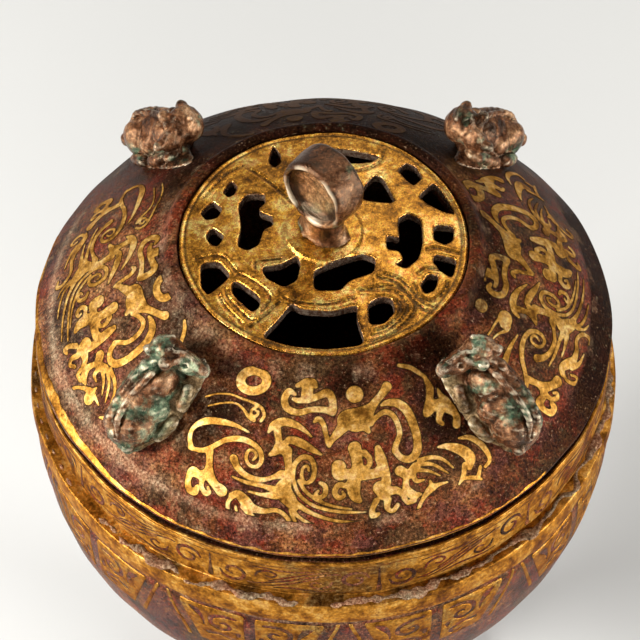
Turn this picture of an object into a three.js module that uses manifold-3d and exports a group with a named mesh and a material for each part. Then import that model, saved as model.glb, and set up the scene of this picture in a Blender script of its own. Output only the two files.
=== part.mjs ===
// A stemmed incense burner of cast bronze with gold bands: foot, stem, bowl and a lift-off lid that
// carries an openwork vent disc, a finger knob and four lying beasts. Millimetres, +Z up, front towards -Y.
// The origin is the middle of the standing ring, on the surface that the burner stands on.
import * as THREE from 'three';
import { mergeVertices } from 'three/addons/utils/BufferGeometryUtils.js';
import Module from 'manifold-3d';

const wasm = await Module();
wasm.setup();

// Clearances
const SEAT_GAP = 0.3;            // between pieces that rest on, or are let into, each other
const SLIP_GAP = 0.5;            // between the lid's flange and the bowl's mouth

// Foot
const FOOT_RADIUS = 38;
const FOOT_EDGE = 6;             // height of the upright standing edge
const FOOT_LEDGE = 1.5;          // step in from the standing edge to the trumpet
const FOOT_HEIGHT = 24;
const FOOT_WALL = 3;
const FOOT_CEILING = 8;          // thickness above the hollow, where the rod passes

// Stem
const STEM_HEIGHT = 38;
const STEM_END_RADIUS = 13;      // shared seat of foot, stem and bowl
const STEM_END_EDGE = 2.5;
const STEM_NECK_RADIUS = 7.5;
const STEM_BEAD_RADIUS = 12.5;
const STEM_BEAD_HEIGHT = 13;

// Tie rod
const ROD_RADIUS = 3;
const ROD_HEAD_RADIUS = 5.5;
const ROD_HEAD_HEIGHT = 2.4;
const WASHER_RADIUS = 8;
const WASHER_THICKNESS = 1.5;

// Bowl
const BOWL_RADIUS = 65;          // outside, at the rim band
const BOWL_FLOOR = 4;
const BOWL_WALL = 3;             // of the belly
const BELLY_SWELL = 2;           // how far the belly's widest stands out from the rim
const BELLY_DEPTH = 61;          // from its widest down to the stem
const BELLY_SHOULDER = 3.4;      // from its widest up to the girdle
const BELLY_FULLNESS = 2.2;      // 2 is an ellipse, more is fuller
const RIM_WIDTH = 5;             // flat on which the lid sits
const RIM_EDGE = 0.7;            // plain edge above the rim band
const RIM_BAND_HEIGHT = 11.2;
const RIM_BAND_THICKNESS = 0.9;
const CRUST_GROOVE_HEIGHT = 1.8; // sunk line between rim band and girdle
const CRUST_GROOVE_DEPTH = 1.2;
const GIRDLE_HEIGHT = 6.2;
const GIRDLE_PROUD = 0.5;        // how far the girdle stands out from the belly
const GIRDLE_THICKNESS = 1;

// Lid
const LIP_HEIGHT = 2.4;          // gold lip below the brim
const LIP_SETBACK = 0.7;
const LIP_THICKNESS = 1.5;
const FLANGE_DEPTH = 5;
const FLANGE_WALL = 2;
const BRIM_WIDTH = 4.4;
const BRIM_EDGE = 0.6;
const BRIM_RISE = 5.6;           // from the lip's top to the crease under the dome
const DOME_RISE = 19.6;          // from the crease to the foot of the collar
const DOME_TURN = 20;            // degrees by which the dome's profile turns
const LID_WALL = 2.6;
const COLLAR_WIDTH = 2.3;
const COLLAR_SLOPE = 1.2;
const COLLAR_RISE = 2.2;

// Vent disc
const DISC_RADIUS = 31.6;
const DISC_THICKNESS = 2.6;
const DISC_CROWN = 3;            // how much the middle stands above the edge
const DISC_SINK = 0.9;           // edge of the disc below the collar's top
const DISC_LEDGE_WIDTH = 1.7;
const DISC_LEDGE_THICKNESS = 2;
const BOSS_RADIUS = 8.6;
const BOSS_RISE = 0.6;

// Knob
const KNOB_RADIUS = 9;
const KNOB_THICKNESS = 8.6;
const KNOB_EDGE_ROUND = 2.2;
const KNOB_DISH_RADIUS = 6.6;
const KNOB_DISH_FLOOR_RADIUS = 4;
const KNOB_DISH_DEPTH = 3.2;
const KNOB_NECK_HEIGHT = 5.4;    // from the boss to the bottom of the oval
const KNOB_NECK_LENGTH = 11.5;
const KNOB_NECK_WIDTH = 7.4;
const KNOB_NECK_TAPER = 0.84;    // its top as a share of its bottom
const KNOB_BEARING = -131;       // degrees, the way the dished face looks
const KNOB_PIN_RADIUS = 1.8;
const KNOB_PIN_HEAD_RADIUS = 3.6;
const KNOB_PIN_DEPTH = 4;

// Beasts
const BEAST_LENGTH = 28;
const BEAST_WIDTH = 11;
const BEAST_HEIGHT = 13;
const BEAST_STATION = 0.4925;    // beast's middle, as a share of the dome's arc from the collar
const BEAST_PIN_RADIUS = 1.2;
const BEAST_PIN_DEPTH = 3.6;
const BEAST_PIN_HEAD_RADIUS = 2.6;
const PIN_HEAD_HEIGHT = 1.4;
const HEAD_FLAT = 0.65;          // flat end of a peened head as a share of its radius

// Facets
const ROUND_STEPS = 40;
const SMALL_STEPS = 24;
const PIN_STEPS = 12;
const CURVE_STEPS = 6;
const BELLY_STEPS = 9;
const VENT_CURVE_STEPS = 2;
const MERGE_DISTANCE = 1e-4;     // corners closer than this are one corner
const FORM_STEPS = [8, 5];      // round and from pole to pole of a beast's forms

// Sizes that follow from those above
const LID_RADIUS = BOWL_RADIUS;
const MOUTH_RADIUS = BOWL_RADIUS - RIM_WIDTH;
const FLANGE_RADIUS = MOUTH_RADIUS - SLIP_GAP;
const LIP_RADIUS = LID_RADIUS - LIP_SETBACK;
const SKIRT_RADIUS = LIP_RADIUS - LIP_THICKNESS - SEAT_GAP;
const DISC_SEAT_RADIUS = DISC_RADIUS + SEAT_GAP;
const DOME_TOP_RADIUS = DISC_SEAT_RADIUS + COLLAR_WIDTH + COLLAR_SLOPE;
const CREASE_RADIUS = LID_RADIUS - BRIM_WIDTH;
const CREASE_Z = LIP_HEIGHT + BRIM_RISE;
const DOME_TOP_Z = CREASE_Z + DOME_RISE;
const COLLAR_Z = DOME_TOP_Z + COLLAR_RISE;
const DISC_Z = COLLAR_Z - DISC_SINK - DISC_THICKNESS;
const BOSS_Z = DISC_Z + DISC_THICKNESS + DISC_CROWN + BOSS_RISE;
const GIRDLE_BOTTOM = BELLY_DEPTH + BELLY_SHOULDER;
const GIRDLE_TOP = GIRDLE_BOTTOM + GIRDLE_HEIGHT;
const BAND_BOTTOM = GIRDLE_TOP + CRUST_GROOVE_HEIGHT;
const BAND_TOP = BAND_BOTTOM + RIM_BAND_HEIGHT;
const BOWL_HEIGHT = BAND_TOP + RIM_EDGE;
const STEM_Z = FOOT_HEIGHT + SEAT_GAP;
const BOWL_Z = STEM_Z + STEM_HEIGHT + SEAT_GAP;
const LID_Z = BOWL_Z + BOWL_HEIGHT + SEAT_GAP;
const BELLY_RADIUS = BOWL_RADIUS + BELLY_SWELL;
const GIRDLE_RADIUS = BELLY_RADIUS + GIRDLE_PROUD;
const CORDON_RADIUS = GIRDLE_RADIUS - GIRDLE_THICKNESS - SEAT_GAP;
const ROD_HOLE_RADIUS = ROD_RADIUS + SEAT_GAP;

// Vent outlines, corners of each opening in x, y on a disc of VENT_DRAWING_RADIUS, seen from above
const VENT_DRAWING_RADIUS = 31.6;
const VENT_SOFTNESS = 0.36;      // share of each side that the corner curves take up
const VENTS = [
  // three around the front, under the knob
  [[-7, -18.6], [-4.6, -20], [2, -20.7], [7.4, -18.8], [7, -22], [9, -28.4], [0, -29.9], [-7, -28.9],
    [-13.2, -26.4], [-9.6, -22.4]],
  [[-2.2, -10.4], [1.6, -8.2], [8.4, -5.6], [11.4, -6.8], [10.8, -10.4], [5.6, -12.6], [3.6, -15.4],
    [-2, -15.4]],
  [[-13.4, -9], [-9.2, -8.6], [-6, -6.4], [-5, -8.6], [-5.8, -13], [-8.6, -14.6], [-12.4, -12]],
  // left side, front to back
  [[-19.6, -12.2], [-17.8, -12.8], [-13.6, -17], [-13.9, -19.6], [-15.4, -20.6], [-19.6, -15.6]],
  [[-26.6, -6.8], [-22.6, -6.8], [-20, -10.6], [-21.8, -12.8], [-24.8, -15.4], [-26.4, -13]],
  [[-24.2, 2.9], [-21.4, 0], [-22.8, -2.6], [-24.4, -2.2], [-25.5, 0.4]],
  [[-24.5, 10.8], [-22.2, 8.2], [-23.2, 5.4], [-25.6, 5], [-27, 7.4]],
  [[-20.4, 16.6], [-18.9, 14.6], [-19.6, 12.2], [-21, 11.4], [-22.3, 13.2]],
  [[-18.8, 8.6], [-17.2, 11.8], [-13, 11.8], [-12.8, 9], [-14.4, 7.4], [-13.4, 6], [-11.2, 5], [-10.9, 2.4],
    [-13.2, 1.2], [-14, -3], [-16.4, -4.4], [-18.6, -3], [-18, 2]],
  // back
  [[-11.4, 27.8], [-9.6, 24.4], [-9.6, 21.6], [-11, 20], [-12.4, 22]],
  [[-4.6, 26.2], [4, 26], [12.8, 23.5], [10.4, 21.2], [3, 20.8], [-4.4, 21.4]],
  // right side, back to front
  [[8, 12.4], [11, 17.4], [12.8, 16.8], [15.8, 10.2], [15, 9.2], [8.8, 9.4]],
  [[16.2, 19.4], [18.2, 22], [20.4, 21.2], [22, 17.6], [19.8, 14.8], [17.8, 17]],
  [[20.8, 11.8], [24.4, 16.6], [26.4, 13.2], [29, 7.4], [26, 7.8], [22.6, 9.8]],
  [[16.6, 5], [18.8, 6.6], [21.4, 5], [21.6, -1], [20.4, -6], [17.6, -9], [15.4, -8], [17.2, -6.4],
    [16.4, -4.4], [13.8, -4.2], [13.8, -0.2], [16.6, -0.8], [16.4, 2.6]],
  [[24.2, 3.8], [28.6, 4], [28.4, -0.2], [26.6, -1.6], [24, -0.6]],
  [[24, -4.4], [29, -5.2], [27.6, -10.4], [25.2, -9], [23.5, -6.6]],
  [[22.4, -9.8], [24.8, -10], [23.8, -14], [21.8, -15.2], [20.6, -13]],
  [[9.4, -18.2], [12, -16.4], [14.4, -16.6], [15.2, -20], [13, -23.2], [9.8, -23.6]],
];

// Forms of a beast, as shares of its length, width and height: middle x, y, z and half-sizes x, y, z.
// x runs from the rump to the head, y to the side that the head is turned to, z out of the dome.
const BEAST_FORMS = [
  [-0.02, 0.06, 0.06, 0.46, 0.5, 0.2],     // ground that it lies on
  [-0.06, 0, 0.36, 0.36, 0.4, 0.42],       // trunk
  [-0.27, 0.2, 0.42, 0.2, 0.28, 0.48],     // near haunch
  [-0.28, -0.18, 0.46, 0.19, 0.26, 0.5],   // far haunch
  [0.12, 0.2, 0.34, 0.15, 0.26, 0.4],      // near shoulder
  [0.12, -0.2, 0.4, 0.15, 0.24, 0.42],     // far shoulder
  [0.33, 0, 0.5, 0.16, 0.44, 0.38],        // head
  [0.36, 0.44, 0.38, 0.11, 0.26, 0.24],    // muzzle
  [0.27, 0.12, 0.86, 0.06, 0.11, 0.14],    // near ear
  [0.29, -0.24, 0.84, 0.06, 0.11, 0.14],   // far ear
];

const radians = THREE.MathUtils.degToRad;

// Materials
function metal(color, roughness) {
  return new THREE.MeshStandardMaterial({ color, roughness, metalness: 1 });
}
const bronze = () => metal(0x5a4034, 0.55);
const paleBronze = () => metal(0x6e5a44, 0.6);
const gold = () => metal(0xc08a2c, 0.35);
const iron = () => metal(0x3d342f, 0.7);

// A closed geometry as a solid: shared corners are merged, collapsed facets dropped and faces turned
// outwards.
function solid(geometry) {
  const plain = geometry.clone();
  plain.deleteAttribute('normal');
  plain.deleteAttribute('uv');
  const merged = mergeVertices(plain, MERGE_DISTANCE);
  const spots = merged.getAttribute('position').array;
  const corners = merged.index.array;
  const kept = [];
  let sixVolumes = 0;
  const a = new THREE.Vector3();
  const b = new THREE.Vector3();
  const c = new THREE.Vector3();
  for (let i = 0; i < corners.length; i += 3) {
    const [p, q, r] = [corners[i], corners[i + 1], corners[i + 2]];
    if (p === q || q === r || r === p) continue;
    kept.push(p, q, r);
    a.fromArray(spots, 3 * p);
    b.fromArray(spots, 3 * q);
    c.fromArray(spots, 3 * r);
    sixVolumes += a.dot(b.cross(c));
  }
  if (sixVolumes < 0) kept.reverse();
  return new wasm.Manifold(new wasm.Mesh({
    numProp: 3,
    vertProperties: new Float32Array(spots),
    triVerts: new Uint32Array(kept),
  }));
}

// A solid as a named mesh with flat facets.
function piece(name, body, material) {
  const { vertProperties, triVerts } = body.getMesh();
  const geometry = new THREE.BufferGeometry();
  geometry.setAttribute('position', new THREE.BufferAttribute(new Float32Array(vertProperties), 3));
  geometry.setIndex(new THREE.BufferAttribute(new Uint32Array(triVerts), 1));
  geometry.computeVertexNormals();
  const mesh = new THREE.Mesh(geometry, material);
  mesh.name = name;
  return mesh;
}

// A profile of [radius, height] points turned about Z. Unless it starts and ends on the axis, it is closed
// on itself.
function turned(profile, steps = ROUND_STEPS) {
  const points = profile.map(([r, z]) => new THREE.Vector2(r, z));
  const onAxis = profile[0][0] === 0 && profile[profile.length - 1][0] === 0;
  if (!onAxis) points.push(points[0].clone());
  return solid(new THREE.LatheGeometry(points, steps).rotateX(Math.PI / 2));
}

// Points of a full quarter curve from the stem's seat, level at [r0, z0], out and up to upright at [r1, z1].
function bellied(r0, z0, r1, z1) {
  const points = [];
  for (let i = 0; i <= BELLY_STEPS; i += 1) {
    const angle = (Math.PI / 2) * (i / BELLY_STEPS);
    const across = Math.max(Math.sin(angle), 0) ** (2 / BELLY_FULLNESS);
    const down = Math.max(Math.cos(angle), 0) ** (2 / BELLY_FULLNESS);
    points.push([r0 + (r1 - r0) * across, z1 - (z1 - z0) * down]);
  }
  return points;
}

// The dome's arc from the collar to the crease: place, and outward normal, at a distance along it.
const domeChord = new THREE.Vector2(CREASE_RADIUS - DOME_TOP_RADIUS, -DOME_RISE);
const domeArcRadius = domeChord.length() / (2 * Math.sin(radians(DOME_TURN) / 2));
const domeArcLength = domeArcRadius * radians(DOME_TURN);
const domeStartSlope = Math.atan2(DOME_RISE, domeChord.x) - radians(DOME_TURN) / 2;
function domeAt(along, offset = 0) {
  const slope = domeStartSlope + along / domeArcRadius;
  const reach = domeArcRadius + offset;
  return {
    r: DOME_TOP_RADIUS + reach * Math.sin(slope) - domeArcRadius * Math.sin(domeStartSlope),
    z: DOME_TOP_Z + reach * Math.cos(slope) - domeArcRadius * Math.cos(domeStartSlope),
    slope,
  };
}
function domeProfile(offset) {
  const points = [];
  for (let i = 0; i <= CURVE_STEPS; i += 1) {
    const { r, z } = domeAt(domeArcLength * (i / CURVE_STEPS), offset);
    points.push([r, z]);
  }
  return points;
}

function makeFoot() {
  const hollowEnd = WASHER_RADIUS + 2 * SEAT_GAP;
  const ceiling = FOOT_HEIGHT - FOOT_CEILING;
  const trumpet = [];
  const hollow = [];
  for (let i = 0; i <= CURVE_STEPS; i += 1) {
    const angle = (Math.PI / 2) * (i / CURVE_STEPS);
    const inwards = Math.sin(angle);
    const upwards = 1 - Math.cos(angle);
    const outerStart = FOOT_RADIUS - FOOT_LEDGE;
    const innerStart = FOOT_RADIUS - FOOT_WALL;
    const innerEdge = FOOT_EDGE - FOOT_WALL;
    trumpet.push([
      outerStart - (outerStart - STEM_END_RADIUS) * inwards,
      FOOT_EDGE + (FOOT_HEIGHT - FOOT_EDGE) * upwards,
    ]);
    hollow.unshift([
      innerStart - (innerStart - hollowEnd) * inwards,
      innerEdge + (ceiling - innerEdge) * upwards,
    ]);
  }
  return turned([
    [FOOT_RADIUS, 0],
    [FOOT_RADIUS, FOOT_EDGE],
    ...trumpet,
    [ROD_HOLE_RADIUS, FOOT_HEIGHT],
    [ROD_HOLE_RADIUS, ceiling],
    ...hollow,
    [FOOT_RADIUS - FOOT_WALL, 0],
  ]);
}

function makeStem() {
  const middle = STEM_HEIGHT / 2;
  const half = STEM_BEAD_HEIGHT / 2;
  const bead = [];
  for (let i = 0; i <= CURVE_STEPS; i += 1) {
    const angle = Math.PI * (i / CURVE_STEPS);
    bead.push([
      STEM_NECK_RADIUS + (STEM_BEAD_RADIUS - STEM_NECK_RADIUS) * Math.sin(angle),
      middle - half * Math.cos(angle),
    ]);
  }
  const taper = (middle - half) / 2;
  return turned([
    [ROD_HOLE_RADIUS, 0],
    [STEM_END_RADIUS, 0],
    [STEM_END_RADIUS, STEM_END_EDGE],
    [STEM_NECK_RADIUS, taper],
    ...bead,
    [STEM_NECK_RADIUS, STEM_HEIGHT - taper],
    [STEM_END_RADIUS, STEM_HEIGHT - STEM_END_EDGE],
    [STEM_END_RADIUS, STEM_HEIGHT],
    [ROD_HOLE_RADIUS, STEM_HEIGHT],
  ], SMALL_STEPS);
}

function makeBowl() {
  const recess = BOWL_RADIUS - RIM_BAND_THICKNESS - SEAT_GAP;
  const groove = BOWL_RADIUS - CRUST_GROOVE_DEPTH;
  const outer = bellied(STEM_END_RADIUS, 0, BELLY_RADIUS, BELLY_DEPTH);
  const inner = bellied(STEM_END_RADIUS, BOWL_FLOOR, BELLY_RADIUS - BOWL_WALL, BELLY_DEPTH);
  return turned([
    [ROD_HOLE_RADIUS, BOWL_FLOOR],
    [ROD_HOLE_RADIUS, 0],
    ...outer,
    [CORDON_RADIUS, GIRDLE_BOTTOM],
    [CORDON_RADIUS, GIRDLE_TOP],
    [groove, GIRDLE_TOP],
    [groove, BAND_BOTTOM],
    [recess, BAND_BOTTOM],
    [recess, BAND_TOP],
    [BOWL_RADIUS, BAND_TOP],
    [BOWL_RADIUS, BOWL_HEIGHT],
    [MOUTH_RADIUS, BOWL_HEIGHT],
    [MOUTH_RADIUS, GIRDLE_BOTTOM],
    ...inner.reverse(),
  ]);
}

function makeRimBand() {
  const inside = BOWL_RADIUS - RIM_BAND_THICKNESS;
  return turned([
    [inside, BAND_BOTTOM + SEAT_GAP],
    [BOWL_RADIUS, BAND_BOTTOM + SEAT_GAP],
    [BOWL_RADIUS, BAND_TOP - SEAT_GAP],
    [inside, BAND_TOP - SEAT_GAP],
  ]);
}

function makeGirdleBand() {
  const inside = GIRDLE_RADIUS - GIRDLE_THICKNESS;
  const rounding = GIRDLE_THICKNESS / 2;
  return turned([
    [inside, GIRDLE_BOTTOM],
    [GIRDLE_RADIUS - rounding, GIRDLE_BOTTOM],
    [GIRDLE_RADIUS, GIRDLE_BOTTOM + rounding],
    [GIRDLE_RADIUS, GIRDLE_TOP - rounding],
    [GIRDLE_RADIUS - rounding, GIRDLE_TOP],
    [inside, GIRDLE_TOP],
  ]);
}

function makeTieRod() {
  const top = BOWL_Z + BOWL_FLOOR + SEAT_GAP;
  const bottom = FOOT_HEIGHT - FOOT_CEILING - WASHER_THICKNESS - 2 * SEAT_GAP;
  return turned([
    [0, bottom - ROD_HEAD_HEIGHT],
    [ROD_HEAD_RADIUS * HEAD_FLAT, bottom - ROD_HEAD_HEIGHT],
    [ROD_HEAD_RADIUS, bottom - ROD_HEAD_HEIGHT / 2],
    [ROD_HEAD_RADIUS, bottom],
    [ROD_RADIUS, bottom],
    [ROD_RADIUS, top],
    [ROD_HEAD_RADIUS, top],
    [ROD_HEAD_RADIUS, top + ROD_HEAD_HEIGHT / 2],
    [ROD_HEAD_RADIUS * HEAD_FLAT, top + ROD_HEAD_HEIGHT],
    [0, top + ROD_HEAD_HEIGHT],
  ], PIN_STEPS);
}

function makeWasher() {
  const top = FOOT_HEIGHT - FOOT_CEILING - SEAT_GAP;
  return turned([
    [ROD_HOLE_RADIUS, top - WASHER_THICKNESS],
    [WASHER_RADIUS, top - WASHER_THICKNESS],
    [WASHER_RADIUS, top],
    [ROD_HOLE_RADIUS, top],
  ], SMALL_STEPS);
}

// Outer outline of the lid from the collar to the brim, moved outwards by an offset.
function lidCrest(offset) {
  return [
    [DOME_TOP_RADIUS - COLLAR_SLOPE + offset, COLLAR_Z + offset],
    ...domeProfile(offset),
    [LID_RADIUS + offset, LIP_HEIGHT + BRIM_EDGE],
  ];
}

function makeLidDome() {
  const ledgeRadius = DISC_RADIUS - DISC_LEDGE_WIDTH;
  const ledgeTop = DISC_Z - SEAT_GAP;
  const flangeInside = FLANGE_RADIUS - FLANGE_WALL;
  const ceiling = domeProfile(-LID_WALL).filter(([r]) => r < flangeInside - LID_WALL / 2);
  const shell = turned([
    [DISC_SEAT_RADIUS, ledgeTop],
    [DISC_SEAT_RADIUS, COLLAR_Z],
    ...lidCrest(0),
    [LID_RADIUS, LIP_HEIGHT],
    [SKIRT_RADIUS, LIP_HEIGHT],
    [SKIRT_RADIUS, 0],
    [FLANGE_RADIUS, 0],
    [FLANGE_RADIUS, -FLANGE_DEPTH],
    [flangeInside, -FLANGE_DEPTH],
    [flangeInside, CREASE_Z - LID_WALL],
    ...ceiling.reverse(),
    [ledgeRadius, ledgeTop - DISC_LEDGE_THICKNESS],
    [ledgeRadius, ledgeTop],
  ]);
  return beastPlaces.reduce((lid, { bearing }) => {
    const hole = pinRod(BEAST_PIN_RADIUS + SEAT_GAP, -2 * LID_WALL, 2 * LID_WALL);
    hole.applyMatrix4(beastFrame()).rotateZ(radians(bearing));
    return lid.subtract(solid(hole));
  }, shell);
}

function makeLidEdgeBand() {
  const inside = LIP_RADIUS - LIP_THICKNESS;
  return turned([
    [inside, 0],
    [LIP_RADIUS, 0],
    [LIP_RADIUS, LIP_HEIGHT - SEAT_GAP],
    [inside, LIP_HEIGHT - SEAT_GAP],
  ]);
}

// An outline through corner points, each corner eased by a curve that takes a share of its two sides.
function softOutline(corners, softness) {
  const shape = new THREE.Shape();
  const count = corners.length;
  const spots = corners.map(([x, y]) => new THREE.Vector2(x, y));
  for (let i = 0; i < count; i += 1) {
    const corner = spots[i];
    const before = corner.clone().lerp(spots[(i + count - 1) % count], softness);
    const after = corner.clone().lerp(spots[(i + 1) % count], softness);
    if (i === 0) shape.moveTo(before.x, before.y);
    else shape.lineTo(before.x, before.y);
    shape.quadraticCurveTo(corner.x, corner.y, after.x, after.y);
  }
  shape.closePath();
  return shape;
}

function makeVentDisc() {
  const crownAt = (r) => DISC_CROWN * (1 - (r / DISC_RADIUS) ** 2);
  const top = [];
  const bottom = [];
  for (let i = 0; i <= CURVE_STEPS / 2; i += 1) {
    const r = BOSS_RADIUS + (DISC_RADIUS - BOSS_RADIUS) * (i / (CURVE_STEPS / 2));
    bottom.push([r, crownAt(r)]);
    top.unshift([r, DISC_THICKNESS + crownAt(r)]);
  }
  const bossTop = DISC_THICKNESS + DISC_CROWN + BOSS_RISE;
  const pinHole = KNOB_PIN_RADIUS + SEAT_GAP;
  const plate = turned([
    [pinHole, crownAt(pinHole)],
    ...bottom,
    ...top,
    [BOSS_RADIUS, bossTop],
    [pinHole, bossTop],
  ]);
  const scale = DISC_RADIUS / VENT_DRAWING_RADIUS;
  const depth = 2 * (DISC_THICKNESS + DISC_CROWN + BOSS_RISE);
  return VENTS.reduce((disc, corners) => {
    const outline = softOutline(corners, VENT_SOFTNESS);
    const settings = { depth, bevelEnabled: false, curveSegments: VENT_CURVE_STEPS };
    const prism = new THREE.ExtrudeGeometry(outline, settings);
    prism.scale(scale, scale, 1).translate(0, 0, -depth / 4);
    return disc.subtract(solid(prism));
  }, plate);
}

// A round rod along Z between two heights.
function pinRod(radius, bottom, top) {
  const rod = new THREE.CylinderGeometry(radius, radius, top - bottom, PIN_STEPS);
  return rod.rotateX(Math.PI / 2).translate(0, 0, (top + bottom) / 2);
}

// An upright oval with a dish in each face, on a short oval neck. Its own z starts on the boss.
function makeKnob() {
  const half = KNOB_THICKNESS / 2;
  const web = half - KNOB_DISH_DEPTH;
  const round = KNOB_EDGE_ROUND;
  const oval = turned([
    [0, -web],
    [KNOB_DISH_FLOOR_RADIUS, -web],
    [KNOB_DISH_RADIUS, -half],
    [KNOB_RADIUS - round, -half],
    [KNOB_RADIUS, -half + round],
    [KNOB_RADIUS, half - round],
    [KNOB_RADIUS - round, half],
    [KNOB_DISH_RADIUS, half],
    [KNOB_DISH_FLOOR_RADIUS, web],
    [0, web],
  ], SMALL_STEPS);
  const middle = KNOB_NECK_HEIGHT + KNOB_RADIUS;
  const neckTop = KNOB_NECK_HEIGHT + KNOB_RADIUS - KNOB_DISH_RADIUS;
  const neck = new THREE.CylinderGeometry(KNOB_NECK_TAPER / 2, 1 / 2, neckTop, SMALL_STEPS);
  neck.rotateX(Math.PI / 2).scale(KNOB_NECK_WIDTH, KNOB_NECK_LENGTH, 1).translate(0, 0, neckTop / 2);
  const bore = pinRod(KNOB_PIN_RADIUS + SEAT_GAP, -KNOB_PIN_DEPTH, KNOB_PIN_DEPTH + SEAT_GAP);
  const standing = oval.rotate([0, 90, 0]).translate([0, 0, middle]);
  return standing.add(solid(neck)).subtract(solid(bore));
}

function makeKnobPin() {
  const seat = DISC_Z + DISC_CROWN - SEAT_GAP;
  return turned([
    [0, seat - PIN_HEAD_HEIGHT],
    [KNOB_PIN_HEAD_RADIUS * HEAD_FLAT, seat - PIN_HEAD_HEIGHT],
    [KNOB_PIN_HEAD_RADIUS, seat - PIN_HEAD_HEIGHT / 2],
    [KNOB_PIN_HEAD_RADIUS, seat - DISC_CROWN * (KNOB_PIN_HEAD_RADIUS / DISC_RADIUS) ** 2],
    [KNOB_PIN_RADIUS, seat],
    [KNOB_PIN_RADIUS, BOSS_Z + SEAT_GAP + KNOB_PIN_DEPTH],
    [0, BOSS_Z + SEAT_GAP + KNOB_PIN_DEPTH],
  ], PIN_STEPS);
}

// From a beast's own axes (x up the dome, z out of it) to the lid's, for a beast on bearing 0.
function beastFrame() {
  const { r, z, slope } = domeAt(BEAST_STATION * domeArcLength);
  const uphill = new THREE.Vector3(-Math.cos(slope), 0, Math.sin(slope));
  const outwards = new THREE.Vector3(Math.sin(slope), 0, Math.cos(slope));
  const sideways = new THREE.Vector3().crossVectors(outwards, uphill);
  return new THREE.Matrix4().makeBasis(uphill, sideways, outwards).setPosition(r, 0, z);
}

const beastPlaces = [
  { corner: 'front_left', bearing: -135, turn: -1 },
  { corner: 'front_right', bearing: -45, turn: 1 },
  { corner: 'back_left', bearing: 135, turn: -1 },
  { corner: 'back_right', bearing: 45, turn: 1 },
];

// A lying beast, its head turned to one side, hollowed underneath to the lid's surface.
function makeBeast(turn) {
  const forms = BEAST_FORMS.map(([x, y, z, halfX, halfY, halfZ]) => {
    const form = new THREE.SphereGeometry(1, ...FORM_STEPS);
    form.scale(halfX * BEAST_LENGTH, halfY * BEAST_WIDTH, halfZ * BEAST_HEIGHT);
    form.translate(x * BEAST_LENGTH, y * turn * BEAST_WIDTH, z * BEAST_HEIGHT);
    return solid(form.applyMatrix4(beastFrame()));
  });
  const whole = forms.reduce((joined, form) => joined.add(form));
  const lidSide = turned([[0, -FLANGE_DEPTH], [0, COLLAR_Z], ...lidCrest(SEAT_GAP),
    [LID_RADIUS + SEAT_GAP, -FLANGE_DEPTH]].reverse());
  const bore = pinRod(BEAST_PIN_RADIUS + SEAT_GAP, -BEAST_PIN_DEPTH, BEAST_PIN_DEPTH + SEAT_GAP);
  return whole.subtract(lidSide).subtract(solid(bore.applyMatrix4(beastFrame())));
}

function makeBeastPin() {
  const seat = -LID_WALL - SEAT_GAP;
  const rod = turned([
    [0, seat - PIN_HEAD_HEIGHT],
    [BEAST_PIN_HEAD_RADIUS * HEAD_FLAT, seat - PIN_HEAD_HEIGHT],
    [BEAST_PIN_HEAD_RADIUS, seat - PIN_HEAD_HEIGHT / 2],
    [BEAST_PIN_HEAD_RADIUS, seat],
    [BEAST_PIN_RADIUS, seat],
    [BEAST_PIN_RADIUS, BEAST_PIN_DEPTH],
    [0, BEAST_PIN_DEPTH],
  ], PIN_STEPS);
  return rod.transform(beastFrame().toArray());
}

// Assembly
const burner = new THREE.Group();

burner.add(piece('foot', makeFoot(), bronze()));
const stem = piece('stem', makeStem(), bronze());
stem.position.z = STEM_Z;
burner.add(stem);
burner.add(piece('tie_rod', makeTieRod(), iron()));
burner.add(piece('tie_rod_washer', makeWasher(), iron()));

const bowlGroup = new THREE.Group();
bowlGroup.position.z = BOWL_Z;
bowlGroup.add(piece('bowl', makeBowl(), bronze()));
bowlGroup.add(piece('rim_band', makeRimBand(), gold()));
bowlGroup.add(piece('girdle_band', makeGirdleBand(), gold()));
burner.add(bowlGroup);

const lidGroup = new THREE.Group();
lidGroup.position.z = LID_Z;
lidGroup.add(piece('lid_dome', makeLidDome(), bronze()));
lidGroup.add(piece('lid_edge_band', makeLidEdgeBand(), gold()));
const disc = piece('vent_disc', makeVentDisc(), gold());
disc.position.z = DISC_Z;
lidGroup.add(disc);
const knob = piece('knob', makeKnob(), bronze());
knob.position.z = BOSS_Z + SEAT_GAP;
knob.rotation.z = radians(KNOB_BEARING);
lidGroup.add(knob);
lidGroup.add(piece('knob_pin', makeKnobPin(), paleBronze()));
for (const { corner, bearing, turn } of beastPlaces) {
  const beast = piece(`beast_${corner}`, makeBeast(turn), bronze());
  const pin = piece(`beast_pin_${corner}`, makeBeastPin(), paleBronze());
  beast.rotation.z = radians(bearing);
  pin.rotation.z = radians(bearing);
  lidGroup.add(beast, pin);
}
burner.add(lidGroup);

export default burner;
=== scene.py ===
"""A stemmed incense burner of cast bronze with gold inlay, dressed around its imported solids.

Shapes are worked out in millimetres and become metres when they become meshes.
+Z is up, the front looks towards -Y, and the rim of the lid lies level.
"""
import math

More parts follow.
